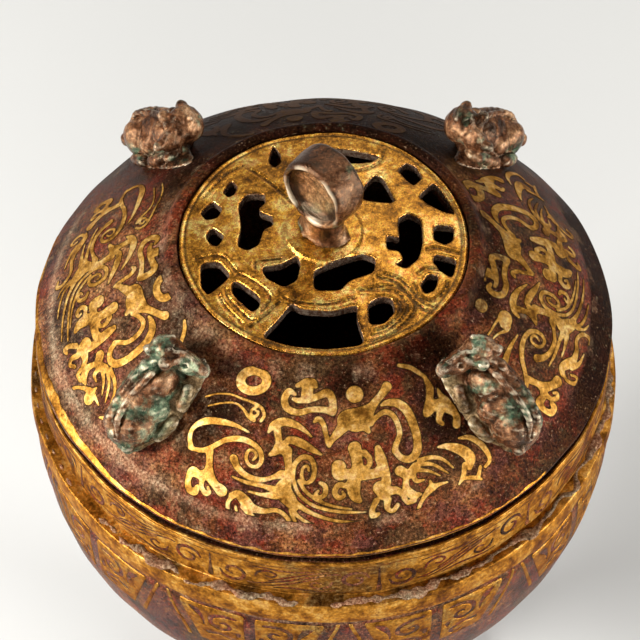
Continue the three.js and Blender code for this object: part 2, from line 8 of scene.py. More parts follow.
import bpy
import numpy as np
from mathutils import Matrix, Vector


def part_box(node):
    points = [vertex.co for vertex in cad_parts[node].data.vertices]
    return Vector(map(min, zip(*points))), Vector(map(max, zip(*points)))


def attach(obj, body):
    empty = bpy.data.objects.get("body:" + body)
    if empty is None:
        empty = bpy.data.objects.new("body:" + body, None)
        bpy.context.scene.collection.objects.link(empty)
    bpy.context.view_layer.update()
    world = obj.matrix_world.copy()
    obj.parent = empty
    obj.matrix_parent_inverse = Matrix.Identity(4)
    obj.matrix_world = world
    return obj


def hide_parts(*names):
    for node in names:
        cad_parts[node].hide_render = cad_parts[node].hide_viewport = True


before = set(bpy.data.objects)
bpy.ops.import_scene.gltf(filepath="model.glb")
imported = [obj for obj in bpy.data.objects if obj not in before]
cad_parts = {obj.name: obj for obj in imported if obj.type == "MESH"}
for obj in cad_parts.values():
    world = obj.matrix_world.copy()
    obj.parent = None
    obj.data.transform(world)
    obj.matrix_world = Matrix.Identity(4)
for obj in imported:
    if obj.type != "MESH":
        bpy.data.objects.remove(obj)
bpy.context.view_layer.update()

MM = 0.001
# In millimetres: places this near are one place, this is no length at all, and this is far from every form
SAME_PLACE = 1e-6
NO_LENGTH = 1e-9
FAR_OFF = 9.0


def node_box(node):
    """Lowest and highest corner of a solid, in millimetres."""
    low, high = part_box(node)
    return np.array(low) / MM, np.array(high) / MM


# Places taken from the solids
FOOT_HIGH = node_box("foot")[1]
STEM_LOW, STEM_HIGH = node_box("stem")
BOWL_LOW, BOWL_HIGH = node_box("bowl")
BAND_LOW, BAND_HIGH = node_box("rim_band")
GIRDLE_LOW, GIRDLE_HIGH = node_box("girdle_band")
LID_LOW, LID_HIGH = node_box("lid_dome")
LIP_LOW, LIP_HIGH = node_box("lid_edge_band")
DISC_LOW, DISC_HIGH = node_box("vent_disc")
KNOB_LOW, KNOB_HIGH = node_box("knob")
WASHER_HIGH = node_box("tie_rod_washer")[1]

# Walls, steps and clearances of the castings
SEAT_GAP = 0.3
FOOT_EDGE = 6
FOOT_LEDGE = 1.5
FOOT_WALL = 3
FOOT_CEILING = 8
STEM_END_EDGE = 2.5
STEM_NECK_RADIUS = 7.5
STEM_BEAD_RADIUS = 12.5
STEM_BEAD_HEIGHT = 13
ROD_RADIUS = 3
BOWL_FLOOR = 4
BOWL_WALL = 3
BELLY_SHOULDER = 3.4
BELLY_FULLNESS = 2.2
RIM_WIDTH = 5
BAND_THICKNESS = 0.9
CRUST_GROOVE_DEPTH = 1.2
GIRDLE_THICKNESS = 1
LIP_THICKNESS = 1.5
LIP_HEIGHT = 2.4
FLANGE_WALL = 2
FLANGE_CLEARANCE = 0.5
BRIM_WIDTH = 4.4
BRIM_EDGE = 0.6
BRIM_RISE = 5.6
DOME_TURN = math.radians(20)
LID_WALL = 2.6
COLLAR_WIDTH = 2.3
COLLAR_SLOPE = 1.2
COLLAR_RISE = 2.2
DISC_THICKNESS = 2.6
DISC_CROWN = 3
DISC_LEDGE_WIDTH = 1.7
DISC_LEDGE_THICKNESS = 2
BOSS_RADIUS = 8.6
BOSS_RISE = 0.6
KNOB_BEARING = math.radians(-131)

# Thin sheet let into the castings, and how finely rings and strokes are worked out
SHEET_THICKNESS = 0.3
SHEET_PROUD = 0.05
RING_SPACING = 0.5
STROKE_MARGIN = 1.5
STROKE_BLEND = 0.3

# Sizes that follow
LID_RADIUS = LID_HIGH[0]
COLLAR_Z = LID_HIGH[2]
DOME_TOP_Z = COLLAR_Z - COLLAR_RISE
LIP_Z = LIP_LOW[2]
BRIM_Z = LIP_Z + LIP_HEIGHT
DISC_RADIUS = DISC_HIGH[0]
DISC_SEAT_RADIUS = DISC_RADIUS + SEAT_GAP
DISC_Z = DISC_LOW[2]
DOME_TOP_RADIUS = DISC_SEAT_RADIUS + COLLAR_WIDTH + COLLAR_SLOPE
CREASE_RADIUS = LID_RADIUS - BRIM_WIDTH
CREASE_Z = BRIM_Z + BRIM_RISE
BOWL_RADIUS = BAND_HIGH[0]
MOUTH_RADIUS = BOWL_RADIUS - RIM_WIDTH
GIRDLE_RADIUS = GIRDLE_HIGH[0]
BELLY_RADIUS = BOWL_HIGH[0]
BELLY_Z = GIRDLE_LOW[2] - BELLY_SHOULDER
STEM_END_RADIUS = STEM_HIGH[0]
ROD_HOLE_RADIUS = ROD_RADIUS + SEAT_GAP


# Meshes

def put_mesh(name, points, faces, body, material, replaced=()):
    """One object at the origin from points in millimetres and faces of four corners, turned as they are."""
    mesh = bpy.data.meshes.new(name)
    mesh.vertices.add(len(points))
    mesh.vertices.foreach_set("co", (points * MM).astype(np.float32).ravel())
    mesh.loops.add(faces.size)
    mesh.loops.foreach_set("vertex_index", faces.astype(np.int32).ravel())
    mesh.polygons.add(len(faces))
    mesh.polygons.foreach_set("loop_start", np.arange(0, faces.size, 4, dtype=np.int32))
    mesh.polygons.foreach_set("use_smooth", np.ones(len(faces), bool))
    mesh.update(calc_edges=True)
    mesh.validate()
    mesh.materials.append(material)
    piece = bpy.data.objects.new(name, mesh)
    bpy.context.scene.collection.objects.link(piece)
    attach(piece, body)
    if replaced:
        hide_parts(*replaced)
    return piece


def put_piece(name, points, faces, body, material, replaced=()):
    """One closed object. Its faces are turned round where the sign of the volume that they close in says
    that they look inwards."""
    corners = points[faces]
    volume = np.einsum("ij,ij->", corners[:, 0], np.cross(corners[:, 1], corners[:, 2]))
    volume += np.einsum("ij,ij->", corners[:, 0], np.cross(corners[:, 2], corners[:, 3]))
    if volume < 0:
        faces = faces[:, ::-1]
    return put_mesh(name, points, faces, body, material, replaced)


def put_sheet(name, points, faces, body, material):
    """One open sheet, thickened on the side away from the one that it shows."""
    sheet = put_mesh(name, points, faces, body, material)
    wall = sheet.modifiers.new("wall", "SOLIDIFY")
    wall.thickness = SHEET_THICKNESS * MM
    wall.offset = -1
    return sheet


def carry(piece, **values):
    """Numbers that a piece's points carry by name, for its material to read: one for each point, or one for
    all."""
    for name, numbers in values.items():
        attribute = piece.data.attributes.new(name, "FLOAT", "POINT")
        each = np.broadcast_to(numbers, len(piece.data.vertices))
        attribute.data.foreach_set("value", each.astype(np.float32))


def radius_of(points):
    """Distance of points from the axis."""
    return np.hypot(points[..., 0], points[..., 1])


def bearing_of(points):
    """Angle of points about the axis, from the right towards the back."""
    return np.arctan2(points[..., 1], points[..., 0])


def round_axis(radius, bearing, height):
    """Points at a radius, a bearing and a height."""
    return np.stack(np.broadcast_arrays(radius * np.cos(bearing), radius * np.sin(bearing), height), axis=-1)


def swung(points, angle):
    """Points turned about the axis by an angle."""
    cosine = math.cos(angle)
    sine = math.sin(angle)
    level = points[:, :2] @ np.array([[cosine, sine], [-sine, cosine]])
    return np.column_stack([level, points[:, 2]])


def hump(value, middle, reach):
    """A bell curve along a value: 1 in its middle, about a third one reach away from it."""
    return np.exp(-((value - middle) / reach) ** 2)


def uneven(points, reach=0.22):
    """Points moved a little, as no old casting is true: six sine waves that run in fixed directions are
    added up and push each point outwards from the axis, and a second sum lifts it."""
    runs = np.array([
        (1, 0.3, 0.5), (-0.4, 1, 0.6), (0.7, -0.8, 0.9), (0.2, 0.9, -1), (1, 1, 0.2), (-1, 0.5, 1)])
    runs = runs / np.linalg.norm(runs, axis=1)[:, None]
    lengths = np.array([41, 33, 27, 19, 14, 11])
    phases = points @ runs.T * (2 * np.pi / lengths)
    starts = np.arange(len(lengths))
    push = np.sin(phases + starts).mean(axis=1) * reach * 2
    lift = np.cos(phases * 0.8 - starts).mean(axis=1) * reach
    away = points[:, :2] / np.maximum(radius_of(points), 1)[:, None]
    return points + np.column_stack([away * push[:, None], lift])


RAGGED_WAVES = 24


def ragged(bearing, fewest, most, seed):
    """A ragged line round the axis, about -2 to 2: the sum of sine waves with drawn numbers of turns and
    phases."""
    draw = np.random.default_rng(seed)
    turns = draw.integers(fewest, most, RAGGED_WAVES)
    phases = draw.uniform(0, 2 * np.pi, RAGGED_WAVES)
    return np.sin(np.outer(bearing, turns) + phases).sum(axis=1) / math.sqrt(RAGGED_WAVES / 2)


def parabola(start, corner, end, t):
    """Places on the parabola that leaves start towards a corner and reaches the end from it, for t from 0
    to 1."""
    return (1 - t) ** 2 * start + 2 * t * (1 - t) * corner + t ** 2 * end


# An ease takes at most this share of a side, in so many points
EASE_MOST = 0.48
EASE_STEPS = 5


def eased(corners, spacing=0.9):
    """Closed outline through (radius, height, ease) corners as points.

    Each corner is cut by a parabola that leaves the sides `ease` before and after it, and the straights
    between get points about `spacing` apart. A corner that repeats the one before it is left out.
    """
    corners = np.array(corners, float)
    step = corners[:, :2] - np.roll(corners[:, :2], 1, axis=0)
    corners = corners[np.linalg.norm(step, axis=1) > SAME_PLACE]
    spots = corners[:, :2]
    before = np.roll(spots, 1, axis=0) - spots
    after = np.roll(spots, -1, axis=0) - spots
    before_length = np.linalg.norm(before, axis=1)
    after_length = np.linalg.norm(after, axis=1)
    ease = np.minimum(corners[:, 2], EASE_MOST * np.minimum(before_length, after_length))
    starts = spots + before * (ease / before_length)[:, None]
    ends = spots + after * (ease / after_length)[:, None]
    outline = []
    for index, corner in enumerate(spots):
        t = np.linspace(0, 1, 1 if ease[index] == 0 else EASE_STEPS)[:, None]
        outline.append(parabola(starts[index], corner, ends[index], t))
        gap = starts[(index + 1) % len(spots)] - ends[index]
        steps = max(int(np.linalg.norm(gap) / spacing), 1)
        outline.append(ends[index] + gap * (np.arange(1, steps) / steps)[:, None])
    return np.concatenate(outline)


def with_ease(points, first=0.0, last=0.0):
    """(radius, height) points as corners with an ease at the first and the last one, and none between."""
    ease = np.zeros(len(points))
    ease[0] = first
    ease[-1] = last
    return np.column_stack([points, ease]).tolist()


FINE_STEPS = 420


def turned(outline, steps=360):
    """Turned form: each point (radius, height) of a closed outline is carried round the axis in equal
    steps, and faces join neighbours both ways, the last to the first."""
    bearing = np.linspace(0, 2 * np.pi, steps, endpoint=False)[:, None]
    points = round_axis(outline[:, 0], bearing, outline[:, 1])
    here = np.arange(steps * len(outline)).reshape(steps, -1)
    beside = np.roll(here, -1, axis=0)
    faces = np.stack([here, beside, np.roll(beside, -1, axis=1), np.roll(here, -1, axis=1)], axis=-1)
    return points.reshape(-1, 3), faces.reshape(-1, 4)


def grid_faces(rows, columns):
    """Faces between the neighbours on a grid of points that is not closed."""
    here = np.arange(rows * columns).reshape(rows, columns)
    return np.stack([here[:-1, :-1], here[1:, :-1], here[1:, 1:], here[:-1, 1:]], axis=-1).reshape(-1, 4)


def grid_places(step, *ranges):
    """Places on a grid, one step apart from the low end of each range."""
    return np.stack(np.meshgrid(*(np.arange(*ends, step) for ends in ranges), indexing="ij"), axis=-1)


def skin_crossings(field, axis):
    """Grid edges along an axis that a skin crosses: the first grid point of each, and where the skin
    crosses it."""
    first = np.take(field, np.arange(field.shape[axis] - 1), axis)
    last = np.take(field, np.arange(1, field.shape[axis]), axis)
    crossed = np.argwhere((first < 0) != (last < 0))
    near = first[tuple(crossed.T)]
    far = last[tuple(crossed.T)]
    place = crossed.astype(float)
    place[:, axis] += near / (near - far)
    return crossed, place


def surface_net(field, low, step):
    """Skin of a form given as signed distances on a grid, negative inside.

    Each grid cell that the skin passes through gets one point, the mean of where the skin crosses the cell's
    edges, and each grid edge that the skin crosses gets one face between the four cells around it.
    """
    shape = np.array(field.shape) - 1
    total = np.zeros((*shape, 3))
    crossings = np.zeros(shape)
    edges = []
    for axis in range(3):
        crossed, place = skin_crossings(field, axis)
        others = [other for other in range(3) if other != axis]
        around = []
        for shift in ((0, 0), (1, 0), (1, 1), (0, 1)):
            cell = crossed.copy()
            cell[:, others] -= shift
            cell = tuple(cell.T)
            np.add.at(total, cell, place)
            np.add.at(crossings, cell, 1)
            around.append(cell)
        edges.append((around, (field[tuple(crossed.T)] < 0) != (axis == 1)))
    used = crossings > 0
    number = np.full(shape, -1)
    number[used] = np.arange(used.sum())
    points = total[used] / crossings[used][:, None] * step + low
    faces = []
    for around, forwards in edges:
        quads = np.stack([number[cell] for cell in around], axis=-1)
        faces.append(np.where(forwards[:, None], quads, quads[:, ::-1]))
    return points, np.concatenate(faces)


def sheet_net(field, low, step):
    """Flat sheet cut to the outline where a grid of signed distances is negative.

    Each grid point inside gets a face between the four cells around it. A cell's point is its middle, or
    the mean of where the outline crosses its edges.
    """
    shape = np.array(field.shape) - 1
    total = np.zeros((*shape, 2))
    crossings = np.zeros(shape)
    for axis in range(2):
        crossed, place = skin_crossings(field, axis)
        for shift in (0, 1):
            cell = crossed.copy()
            cell[:, 1 - axis] -= shift
            kept = (cell >= 0).all(axis=1) & (cell < shape).all(axis=1)
            np.add.at(total, tuple(cell[kept].T), place[kept])
            np.add.at(crossings, tuple(cell[kept].T), 1)
    middles = np.moveaxis(np.indices(shape), 0, -1) + 0.5
    cells = np.where(crossings[..., None] > 0, total / np.maximum(crossings, 1)[..., None], middles)
    number = np.arange(shape.prod()).reshape(shape)
    spot = np.argwhere(field[1:-1, 1:-1] < 0) + 1
    around = [number[tuple((spot - shift).T)] for shift in ((1, 1), (0, 1), (0, 0), (1, 0))]
    used, faces = np.unique(np.stack(around, axis=-1), return_inverse=True)
    return cells.reshape(-1, 2)[used] * step + low, faces.reshape(-1, 4)


def grid_value(field, low, step, flat):
    """Value of a flat grid at given places, shared out between the four grid points around each."""
    place = np.clip((flat - low) / step, 0, np.array(field.shape) - 1 - SAME_PLACE)
    i, j = place.astype(int).T
    u, v = (place % 1).T
    near = field[i, j] * (1 - v) + field[i, j + 1] * v
    far = field[i + 1, j] * (1 - v) + field[i + 1, j + 1] * v
    return near * (1 - u) + far * u


def smooth_union(first, second, ease):
    """The lesser of two distances, blended over `ease` by a parabola where they are alike."""
    alike = np.maximum(ease - np.abs(first - second), 0) / ease
    return np.minimum(first, second) - alike ** 2 * ease / 4


def smooth_cut(body, tool, ease):
    """What is left of a body when a tool's form is taken out of it, with the new edge eased."""
    return -smooth_union(-body, tool, ease)


def side_distance(place, start, end):
    """Distance of places to a straight side, and how far along it, from 0 to 1, they lie."""
    side = end - start
    along = np.clip((place - start) @ side / max(side @ side, NO_LENGTH), 0, 1)
    return np.linalg.norm(place - start - along[..., None] * side, axis=-1), along


def polygon_distance(place, corners):
    """Signed distance to a closed outline of straight sides: the least distance to a side, negative where a
    ray crosses the outline an odd number of times."""
    x, y = np.moveaxis(place, -1, 0)
    nearest = np.full(x.shape, np.inf)
    inside = np.zeros(x.shape, bool)
    for start, end in zip(corners, np.roll(corners, -1, axis=0)):
        nearest = np.minimum(nearest, side_distance(place, start, end)[0])
        side_x, side_y = end - start
        crossing_x = start[0] + (y - start[1]) * side_x / (side_y or 1)
        inside ^= ((start[1] > y) != (end[1] > y)) & (x < crossing_x)
    return np.where(inside, -nearest, nearest)


def soft_outline(corners, softness):
    """Closed outline whose corners are eased by parabolas that take a share of each side."""
    corners = np.array(corners, float)[:, None]
    starts = corners + softness * (np.roll(corners, 1, axis=0) - corners)
    ends = corners + softness * (np.roll(corners, -1, axis=0) - corners)
    t = np.linspace(0, 1, EASE_STEPS)[None, :, None]
    return parabola(starts, corners, ends, t).reshape(-1, 2)


def stroke_line(points, steps):
    """Smooth line through given points of any number of columns: a cubic on each stretch whose end
    slopes are half the chord between the neighbours on both sides."""
    points = np.array(points, float)
    if len(points) < 3:
        return points
    padded = np.vstack([2 * points[0] - points[1], points, 2 * points[-1] - points[-2]])
    a, b, c, d = padded[:-3, None], padded[1:-2, None], padded[2:-1, None], padded[3:, None]
    t = (np.arange(steps) / steps)[None, :, None]
    curve = b + (c - a) / 2 * t + (a - 2.5 * b + 2 * c - d / 2) * t ** 2
    curve = curve + (1.5 * (b - c) + (d - a) / 2) * t ** 3
    return np.vstack([curve.reshape(-1, points.shape[1]), points[-1]])


def stroke_distance(place, points, steps=6):
    """Signed distance to a brush stroke, or to a tube in space, through points whose last number is its
    half-width: the distance to each piece of its line less the half-width there, and the least of these."""
    line = stroke_line(points, steps)
    nearest = np.full(place.shape[:-1], np.inf)
    for start, end in zip(line[:-1], line[1:]):
        reach, along = side_distance(place, start[:-1], end[:-1])
        nearest = np.minimum(nearest, reach - start[-1] - along * (end[-1] - start[-1]))
    return nearest


def strokes_field(place, strokes):
    """Signed distance to many strokes that run into each other, each worked out only on the stretch of the
    grid around it."""
    field = np.full(place.shape[:2], FAR_OFF)
    for points in strokes:
        points = np.array(points, float)
        margin = points[:, 2].max() + STROKE_MARGIN
        rows = np.searchsorted(place[:, 0, 0], [points[:, 0].min() - margin, points[:, 0].max() + margin])
        columns = np.searchsorted(place[0, :, 1], [points[:, 1].min() - margin, points[:, 1].max() + margin])
        window = (slice(*rows), slice(*columns))
        field[window] = smooth_union(field[window], stroke_distance(place[window], points), STROKE_BLEND)
    return field


# Colours and nodes

def colour(code):
    """An sRGB hex colour as linear red, green, blue and full opacity."""
    values = np.array([int(code[i:i + 2], 16) for i in (1, 3, 5)]) / 255
    linear = np.where(values <= 0.04045, values / 12.92, ((values + 0.055) / 1.055) ** 2.4)
    return (*linear.tolist(), 1)


def plug(node, inputs):
    """Links each input of a node to another node's socket, or sets its value."""
    for key, value in inputs.items():
        if isinstance(value, bpy.types.NodeSocket):
            node.id_data.links.new(value, node.inputs[key])
        else:
            node.inputs[key].default_value = value


def add(tree, kind, inputs=None, stops=(), **settings):
    """Adds a node. Settings are its properties, inputs are values or other nodes' sockets, and stops are a
    ramp's places and colours."""
    node = tree.nodes.new(kind)
    for key, value in settings.items():
        setattr(node, key, value)
    for index, (place, code) in enumerate(stops):
        elements = node.color_ramp.elements
        element = elements[index] if index < len(elements) else elements.new(1)
        element.position = place
        element.color = colour(code)
    plug(node, inputs or {})
    return node


def new_material(name, patterns, carried):
    """A material, its shader, and the values that its finish follows, by name.

    Patterns are noises: the width of the largest blobs in millimetres, the detail and the roughness.
    Carried are the numbers that the piece's points have under these names, each broken up by a pattern
    (times it) or None.
    """
    material = bpy.data.materials.new(name)
    material.use_nodes = True
    tree = material.node_tree
    tree.nodes.clear()
    shader = add(tree, "ShaderNodeBsdfPrincipled")
    add(tree, "ShaderNodeOutputMaterial", {"Surface": shader.outputs["BSDF"]})
    metres = add(tree, "ShaderNodeTexCoord").outputs["Object"]
    inputs = {0: metres, 1: (1 / MM,) * 3}
    place = add(tree, "ShaderNodeVectorMath", inputs, operation="MULTIPLY").outputs["Vector"]
    values = {}
    for label, (size, detail, roughness) in patterns.items():
        inputs = {"Vector": place, "Scale": 1 / size, "Detail": detail, "Roughness": roughness}
        values[label] = add(tree, "ShaderNodeTexNoise", inputs).outputs["Fac"]
    for label, pattern in carried.items():
        values[label] = add(tree, "ShaderNodeAttribute", attribute_name=label).outputs["Fac"]
        if pattern:
            inputs = {0: values[label], 1: values[pattern]}
            values[label] = add(tree, "ShaderNodeMath", inputs, operation="MULTIPLY").outputs[0]
    return material, shader, values


def laid(tree, values, tone):
    """A tone is one colour, a value's name with colours laid along it, or a tone that was made before."""
    if isinstance(tone, str):
        return colour(tone)
    if isinstance(tone, tuple):
        value, stops = tone
        return add(tree, "ShaderNodeValToRGB", {"Fac": values[value]}, stops).outputs["Color"]
    return tone


def layered(tree, values, ground, layers):
    """A tone built up from its ground in layers.

    A layer is a tone, the most that it hides of what lies under it, and where: a value's name, the number
    at which it hides nothing and the one at which it hides the most. A layer that lies everywhere is grain,
    which lightens and darkens what lies under it.
    """
    under = laid(tree, values, ground)
    for tone, most, *where in layers:
        cover = most
        blend = "OVERLAY"
        if where:
            value, nothing, full = where
            inputs = {0: values[value], 1: nothing, 2: full, 3: 0.0, 4: most}
            cover = add(tree, "ShaderNodeMapRange", inputs).outputs[0]
            blend = "MIX"
        inputs = {0: cover, 6: under, 7: laid(tree, values, tone)}
        under = add(tree, "ShaderNodeMix", inputs, data_type="RGBA", blend_type=blend).outputs[2]
    return under


def finish(shader, tone, grain, gloss, depth, steady):
    """Gives a shader its tone, a roughness between two numbers that follows a grain, a bump from the grain,
    so many millimetres deep, and its other inputs, most of them the same all over."""
    tree = shader.id_data
    smooth, rough = gloss
    roughness = add(tree, "ShaderNodeMapRange", {0: grain, 1: 0.3, 2: 0.7, 3: smooth, 4: rough}).outputs[0]
    bump = add(tree, "ShaderNodeBump", {"Height": grain, "Strength": 0.7, "Distance": depth * MM})
    plug(shader, {"Base Color": tone, "Roughness": roughness, "Normal": bump.outputs["Normal"], **steady})


def patina_bronze():
    """Cast bronze after long burial: a brown skin with mauve, olive and brick red patches of 10 to 20 mm,
    blotched dark, scuffed, peppered with fine dark and pale grains and some green, nearly black and less
    glossy where its soot and shade value is high, and grey to pink soil where the soil value is. That value
    darkens the lid round its collar and is painted shade at the lid's back, on its brim at the right, under
    its brim, beside the front beasts and on the bowl's rim under the lid's lip."""
    material, shader, values = new_material("buried cast bronze", {
        "broad": (17, 9, 0.76),
        "tint": (13, 9, 0.74),
        "patches": (9, 9, 0.78),
        "spots": (3.4, 8, 0.8),
        "fine": (0.6, 4, 0.75),
    }, {"soot": "spots", "soil": "spots"})
    tree = material.node_tree
    brown = ("broad", [
        (0.38, "#22110a"), (0.45, "#482412"), (0.51, "#683a20"), (0.57, "#845232"), (0.64, "#a67d52")])
    grains = ("fine", [
        (0.34, "#1c120c"), (0.44, "#827666"), (0.53, "#bdb1a0"), (0.61, "#e4d6bc"), (0.69, "#fff8e4")])
    grey = ("fine", [(0.35, "#4e4030"), (0.5, "#8c785c"), (0.64, "#c8b494")])
    pink = ("fine", [(0.35, "#5a3424"), (0.5, "#9c6e50"), (0.64, "#d2ac86")])
    dust = layered(tree, values, grey, [(pink, 1.0, "patches", 0.42, 0.54)])
    tone = layered(tree, values, brown, [
        ("#663c3a", 0.65, "tint", 0.515, 0.56),
        ("#52402a", 0.65, "tint", 0.485, 0.44),
        ("#7c2a1a", 0.65, "patches", 0.52, 0.57),
        ("#22140d", 0.6, "spots", 0.475, 0.43),
        ("#a47e56", 0.4, "spots", 0.55, 0.63),
        # darkening round the collar, and painted shade elsewhere on the lid and on the bowl's rim
        ("#1c110b", 0.9, "soot", 0.15, 0.5),
        (grains, 0.95),
        ("#c9ac88", 0.55, "fine", 0.62, 0.69),
        ("#777a62", 0.5, "spots", 0.61, 0.67),
        (dust, 0.8, "soil", 0.24, 0.5),
    ])
    shine = add(tree, "ShaderNodeMapRange", {0: values["soot"], 1: 0.15, 2: 0.5, 3: 0.25, 4: 0.03})
    finish(shader, tone, values["fine"], (0.24, 0.54), 0.5, {
        "Metallic": 0.2,
        "Specular IOR Level": shine.outputs[0],
        "Specular Tint": colour("#a07860"),
    })
    return material


def relief_bronze():
    """Waxed cast bronze of the raised figures: dark to red brown and tan, with green to teal copper salts
    in patches, more where the salts value is high, near black where the hollow value is high, which is
    painted shade in the beasts' hollows and the knob's dish and a darker tone on the knob's drum, pale where
    the wear value is high, which is rubbing and, on the beasts, painted highlight, and sandy where the soil
    value is high. Glossier than the ground."""
    material, shader, values = new_material("waxed relief bronze", {
        "broad": (5, 6, 0.68),
        "tint": (6, 5, 0.65),
        "fine": (0.9, 5, 0.75),
    }, {"salts": None, "hollow": None, "soil": "tint", "wear": "tint"})
    tree = material.node_tree
    inputs = {0: values["tint"], 1: values["salts"]}
    values["salts"] = add(tree, "ShaderNodeMath", inputs, operation="ADD").outputs[0]
    brown = ("broad", [
        (0.32, "#160e09"), (0.43, "#402617"), (0.52, "#704a32"), (0.61, "#9c7a5c"), (0.71, "#cbb296")])
    salts = ("broad", [(0.33, "#0f2a22"), (0.44, "#2d5848"), (0.54, "#5c8a76"), (0.66, "#a9c0a8")])
    grains = ("fine", [(0.34, "#33251c"), (0.46, "#988a7c"), (0.56, "#c4b6a6"), (0.68, "#fff0dc")])
    sand = ("fine", [(0.36, "#46351f"), (0.5, "#7c6544"), (0.64, "#ab9168")])
    tone = layered(tree, values, brown, [
        (salts, 0.8, "salts", 0.52, 0.62),
        (grains, 0.8),
        # painted shade in the hollows, and a darker tone on the knob's drum
        ("#120b08", 0.9, "hollow", 0.0, 0.6),
        (sand, 0.9, "soil", 0.15, 0.45),
        # rubbed metal, and on the beasts painted highlights
        ("#eedcbc", 0.85, "wear", 0.1, 0.5),
    ])
    finish(shader, tone, values["fine"], (0.1, 0.3), 0.25, {
        "Metallic": 0.25,
        "Specular IOR Level": 0.8,
        "Specular Tint": colour("#dab890"),
    })
    return material


def sheet_gold(name, stops, gloss, metallic):
    """Thin sheet gold beaten into the bronze: yellow with stains of 5 mm and fine grains, bare brown bronze
    where the wear value is high, and a dark joint where the line value is. Raised wear next to the lid's
    collar is painted shade, and so is the line value laid over the whole back panel."""
    material, shader, values = new_material(name, {
        "stain": (5, 6, 0.72),
        "fine": (0.8, 4, 0.7),
    }, {"wear": "stain", "line": None})
    grains = ("fine", [(0.34, "#7d7468"), (0.5, "#bdb5aa"), (0.66, "#efe6d6")])
    bare = ("fine", [(0.36, "#331f10"), (0.5, "#67441f"), (0.66, "#9c7f50")])
    tone = layered(material.node_tree, values, ("stain", stops), [
        (grains, 0.7),
        (bare, 0.92, "wear", 0.38, 0.54),
        # dark joint, and painted shade over the back panel
        ("#1c110b", 0.95, "line", 0.15, 0.7),
    ])
    finish(shader, tone, values["fine"], gloss, 0.25, {
        "Metallic": metallic,
        "Specular Tint": colour("#a87a44"),
    })
    return material


def gilding():
    """Fire gilding on cast bronze: brown gold with bright and dull clouds of 7 mm, dark where the line
    value is high and pinkish bare bronze where the wear value is."""
    material, shader, values = new_material("fire gilding", {
        "stain": (7, 6, 0.7),
        "fine": (0.9, 5, 0.75),
    }, {"line": None, "wear": "fine"})
    gold = ("stain", [
        (0.35, "#5c3a10"), (0.43, "#a87224"), (0.52, "#d89c3e"), (0.61, "#f0c878"), (0.71, "#b07c30")])
    grains = ("fine", [(0.35, "#4f463a"), (0.5, "#bdb2a2"), (0.64, "#fff4dc")])
    bare = ("fine", [(0.36, "#5c4030"), (0.5, "#a88670"), (0.66, "#dcc4a6")])
    tone = layered(material.node_tree, values, gold, [
        (grains, 0.7),
        ("#38260f", 0.9, "line", 0.2, 0.8),
        (bare, 1.0, "wear", 0.15, 0.45),
    ])
    finish(shader, tone, values["fine"], (0.14, 0.36), 0.2, {"Metallic": 0.8})
    return material


def worked_metal(name, dark, light, roughness):
    """Plain hammered metal of the rivets and the rod: two tones mottled at 2 mm, dull and slightly rough."""
    material, shader, values = new_material(name, {"grain": (2, 5, 0.65)}, {})
    tree = material.node_tree
    grain = values["grain"]
    bump = add(tree, "ShaderNodeBump", {"Height": grain, "Strength": 0.4, "Distance": 0.3 * MM})
    plug(shader, {
        "Base Color": laid(tree, values, ("grain", [(0.35, dark), (0.65, light)])),
        "Normal": bump.outputs["Normal"],
        "Roughness": roughness,
        "Metallic": 0.7,
    })
    return material


BRONZE = patina_bronze()
RELIEF = relief_bronze()
INLAID_GOLD = sheet_gold("inlaid gold", [
    (0.35, "#6a4518"), (0.44, "#a07430"), (0.53, "#c6984e"), (0.62, "#dfbc7e"), (0.71, "#94692c"),
], (0.36, 0.58), 0.6)
BAND_GOLD = sheet_gold("band gold", [
    (0.36, "#5c3912"), (0.45, "#926222"), (0.54, "#bd8738"), (0.62, "#d6aa60"), (0.71, "#865926"),
], (0.28, 0.5), 0.75)
GILT = gilding()
RIVET = worked_metal("worked bronze rivet", "#4a382c", "#7d6448", 0.5)
IRON = worked_metal("wrought iron", "#2b2420", "#54443a", 0.65)


# The lid's dome

DOME_CHORD = np.array([CREASE_RADIUS - DOME_TOP_RADIUS, DOME_TOP_Z - CREASE_Z])
DOME_ARC_RADIUS = np.linalg.norm(DOME_CHORD) / (2 * math.sin(DOME_TURN / 2))
DOME_ARC_LENGTH = DOME_ARC_RADIUS * DOME_TURN
DOME_START_SLOPE = math.atan2(DOME_CHORD[1], DOME_CHORD[0]) - DOME_TURN / 2
DOME_CENTRE = (DOME_TOP_RADIUS - DOME_ARC_RADIUS * math.sin(DOME_START_SLOPE),
               DOME_TOP_Z - DOME_ARC_RADIUS * math.cos(DOME_START_SLOPE))
DOME_POINTS = 24


def dome_at(along, offset=0.0):
    """Radius, height and slope at a distance along the dome's arc from the collar, moved out by an offset."""
    slope = DOME_START_SLOPE + along / DOME_ARC_RADIUS
    reach = DOME_ARC_RADIUS + offset
    return DOME_CENTRE[0] + reach * np.sin(slope), DOME_CENTRE[1] + reach * np.cos(slope), slope


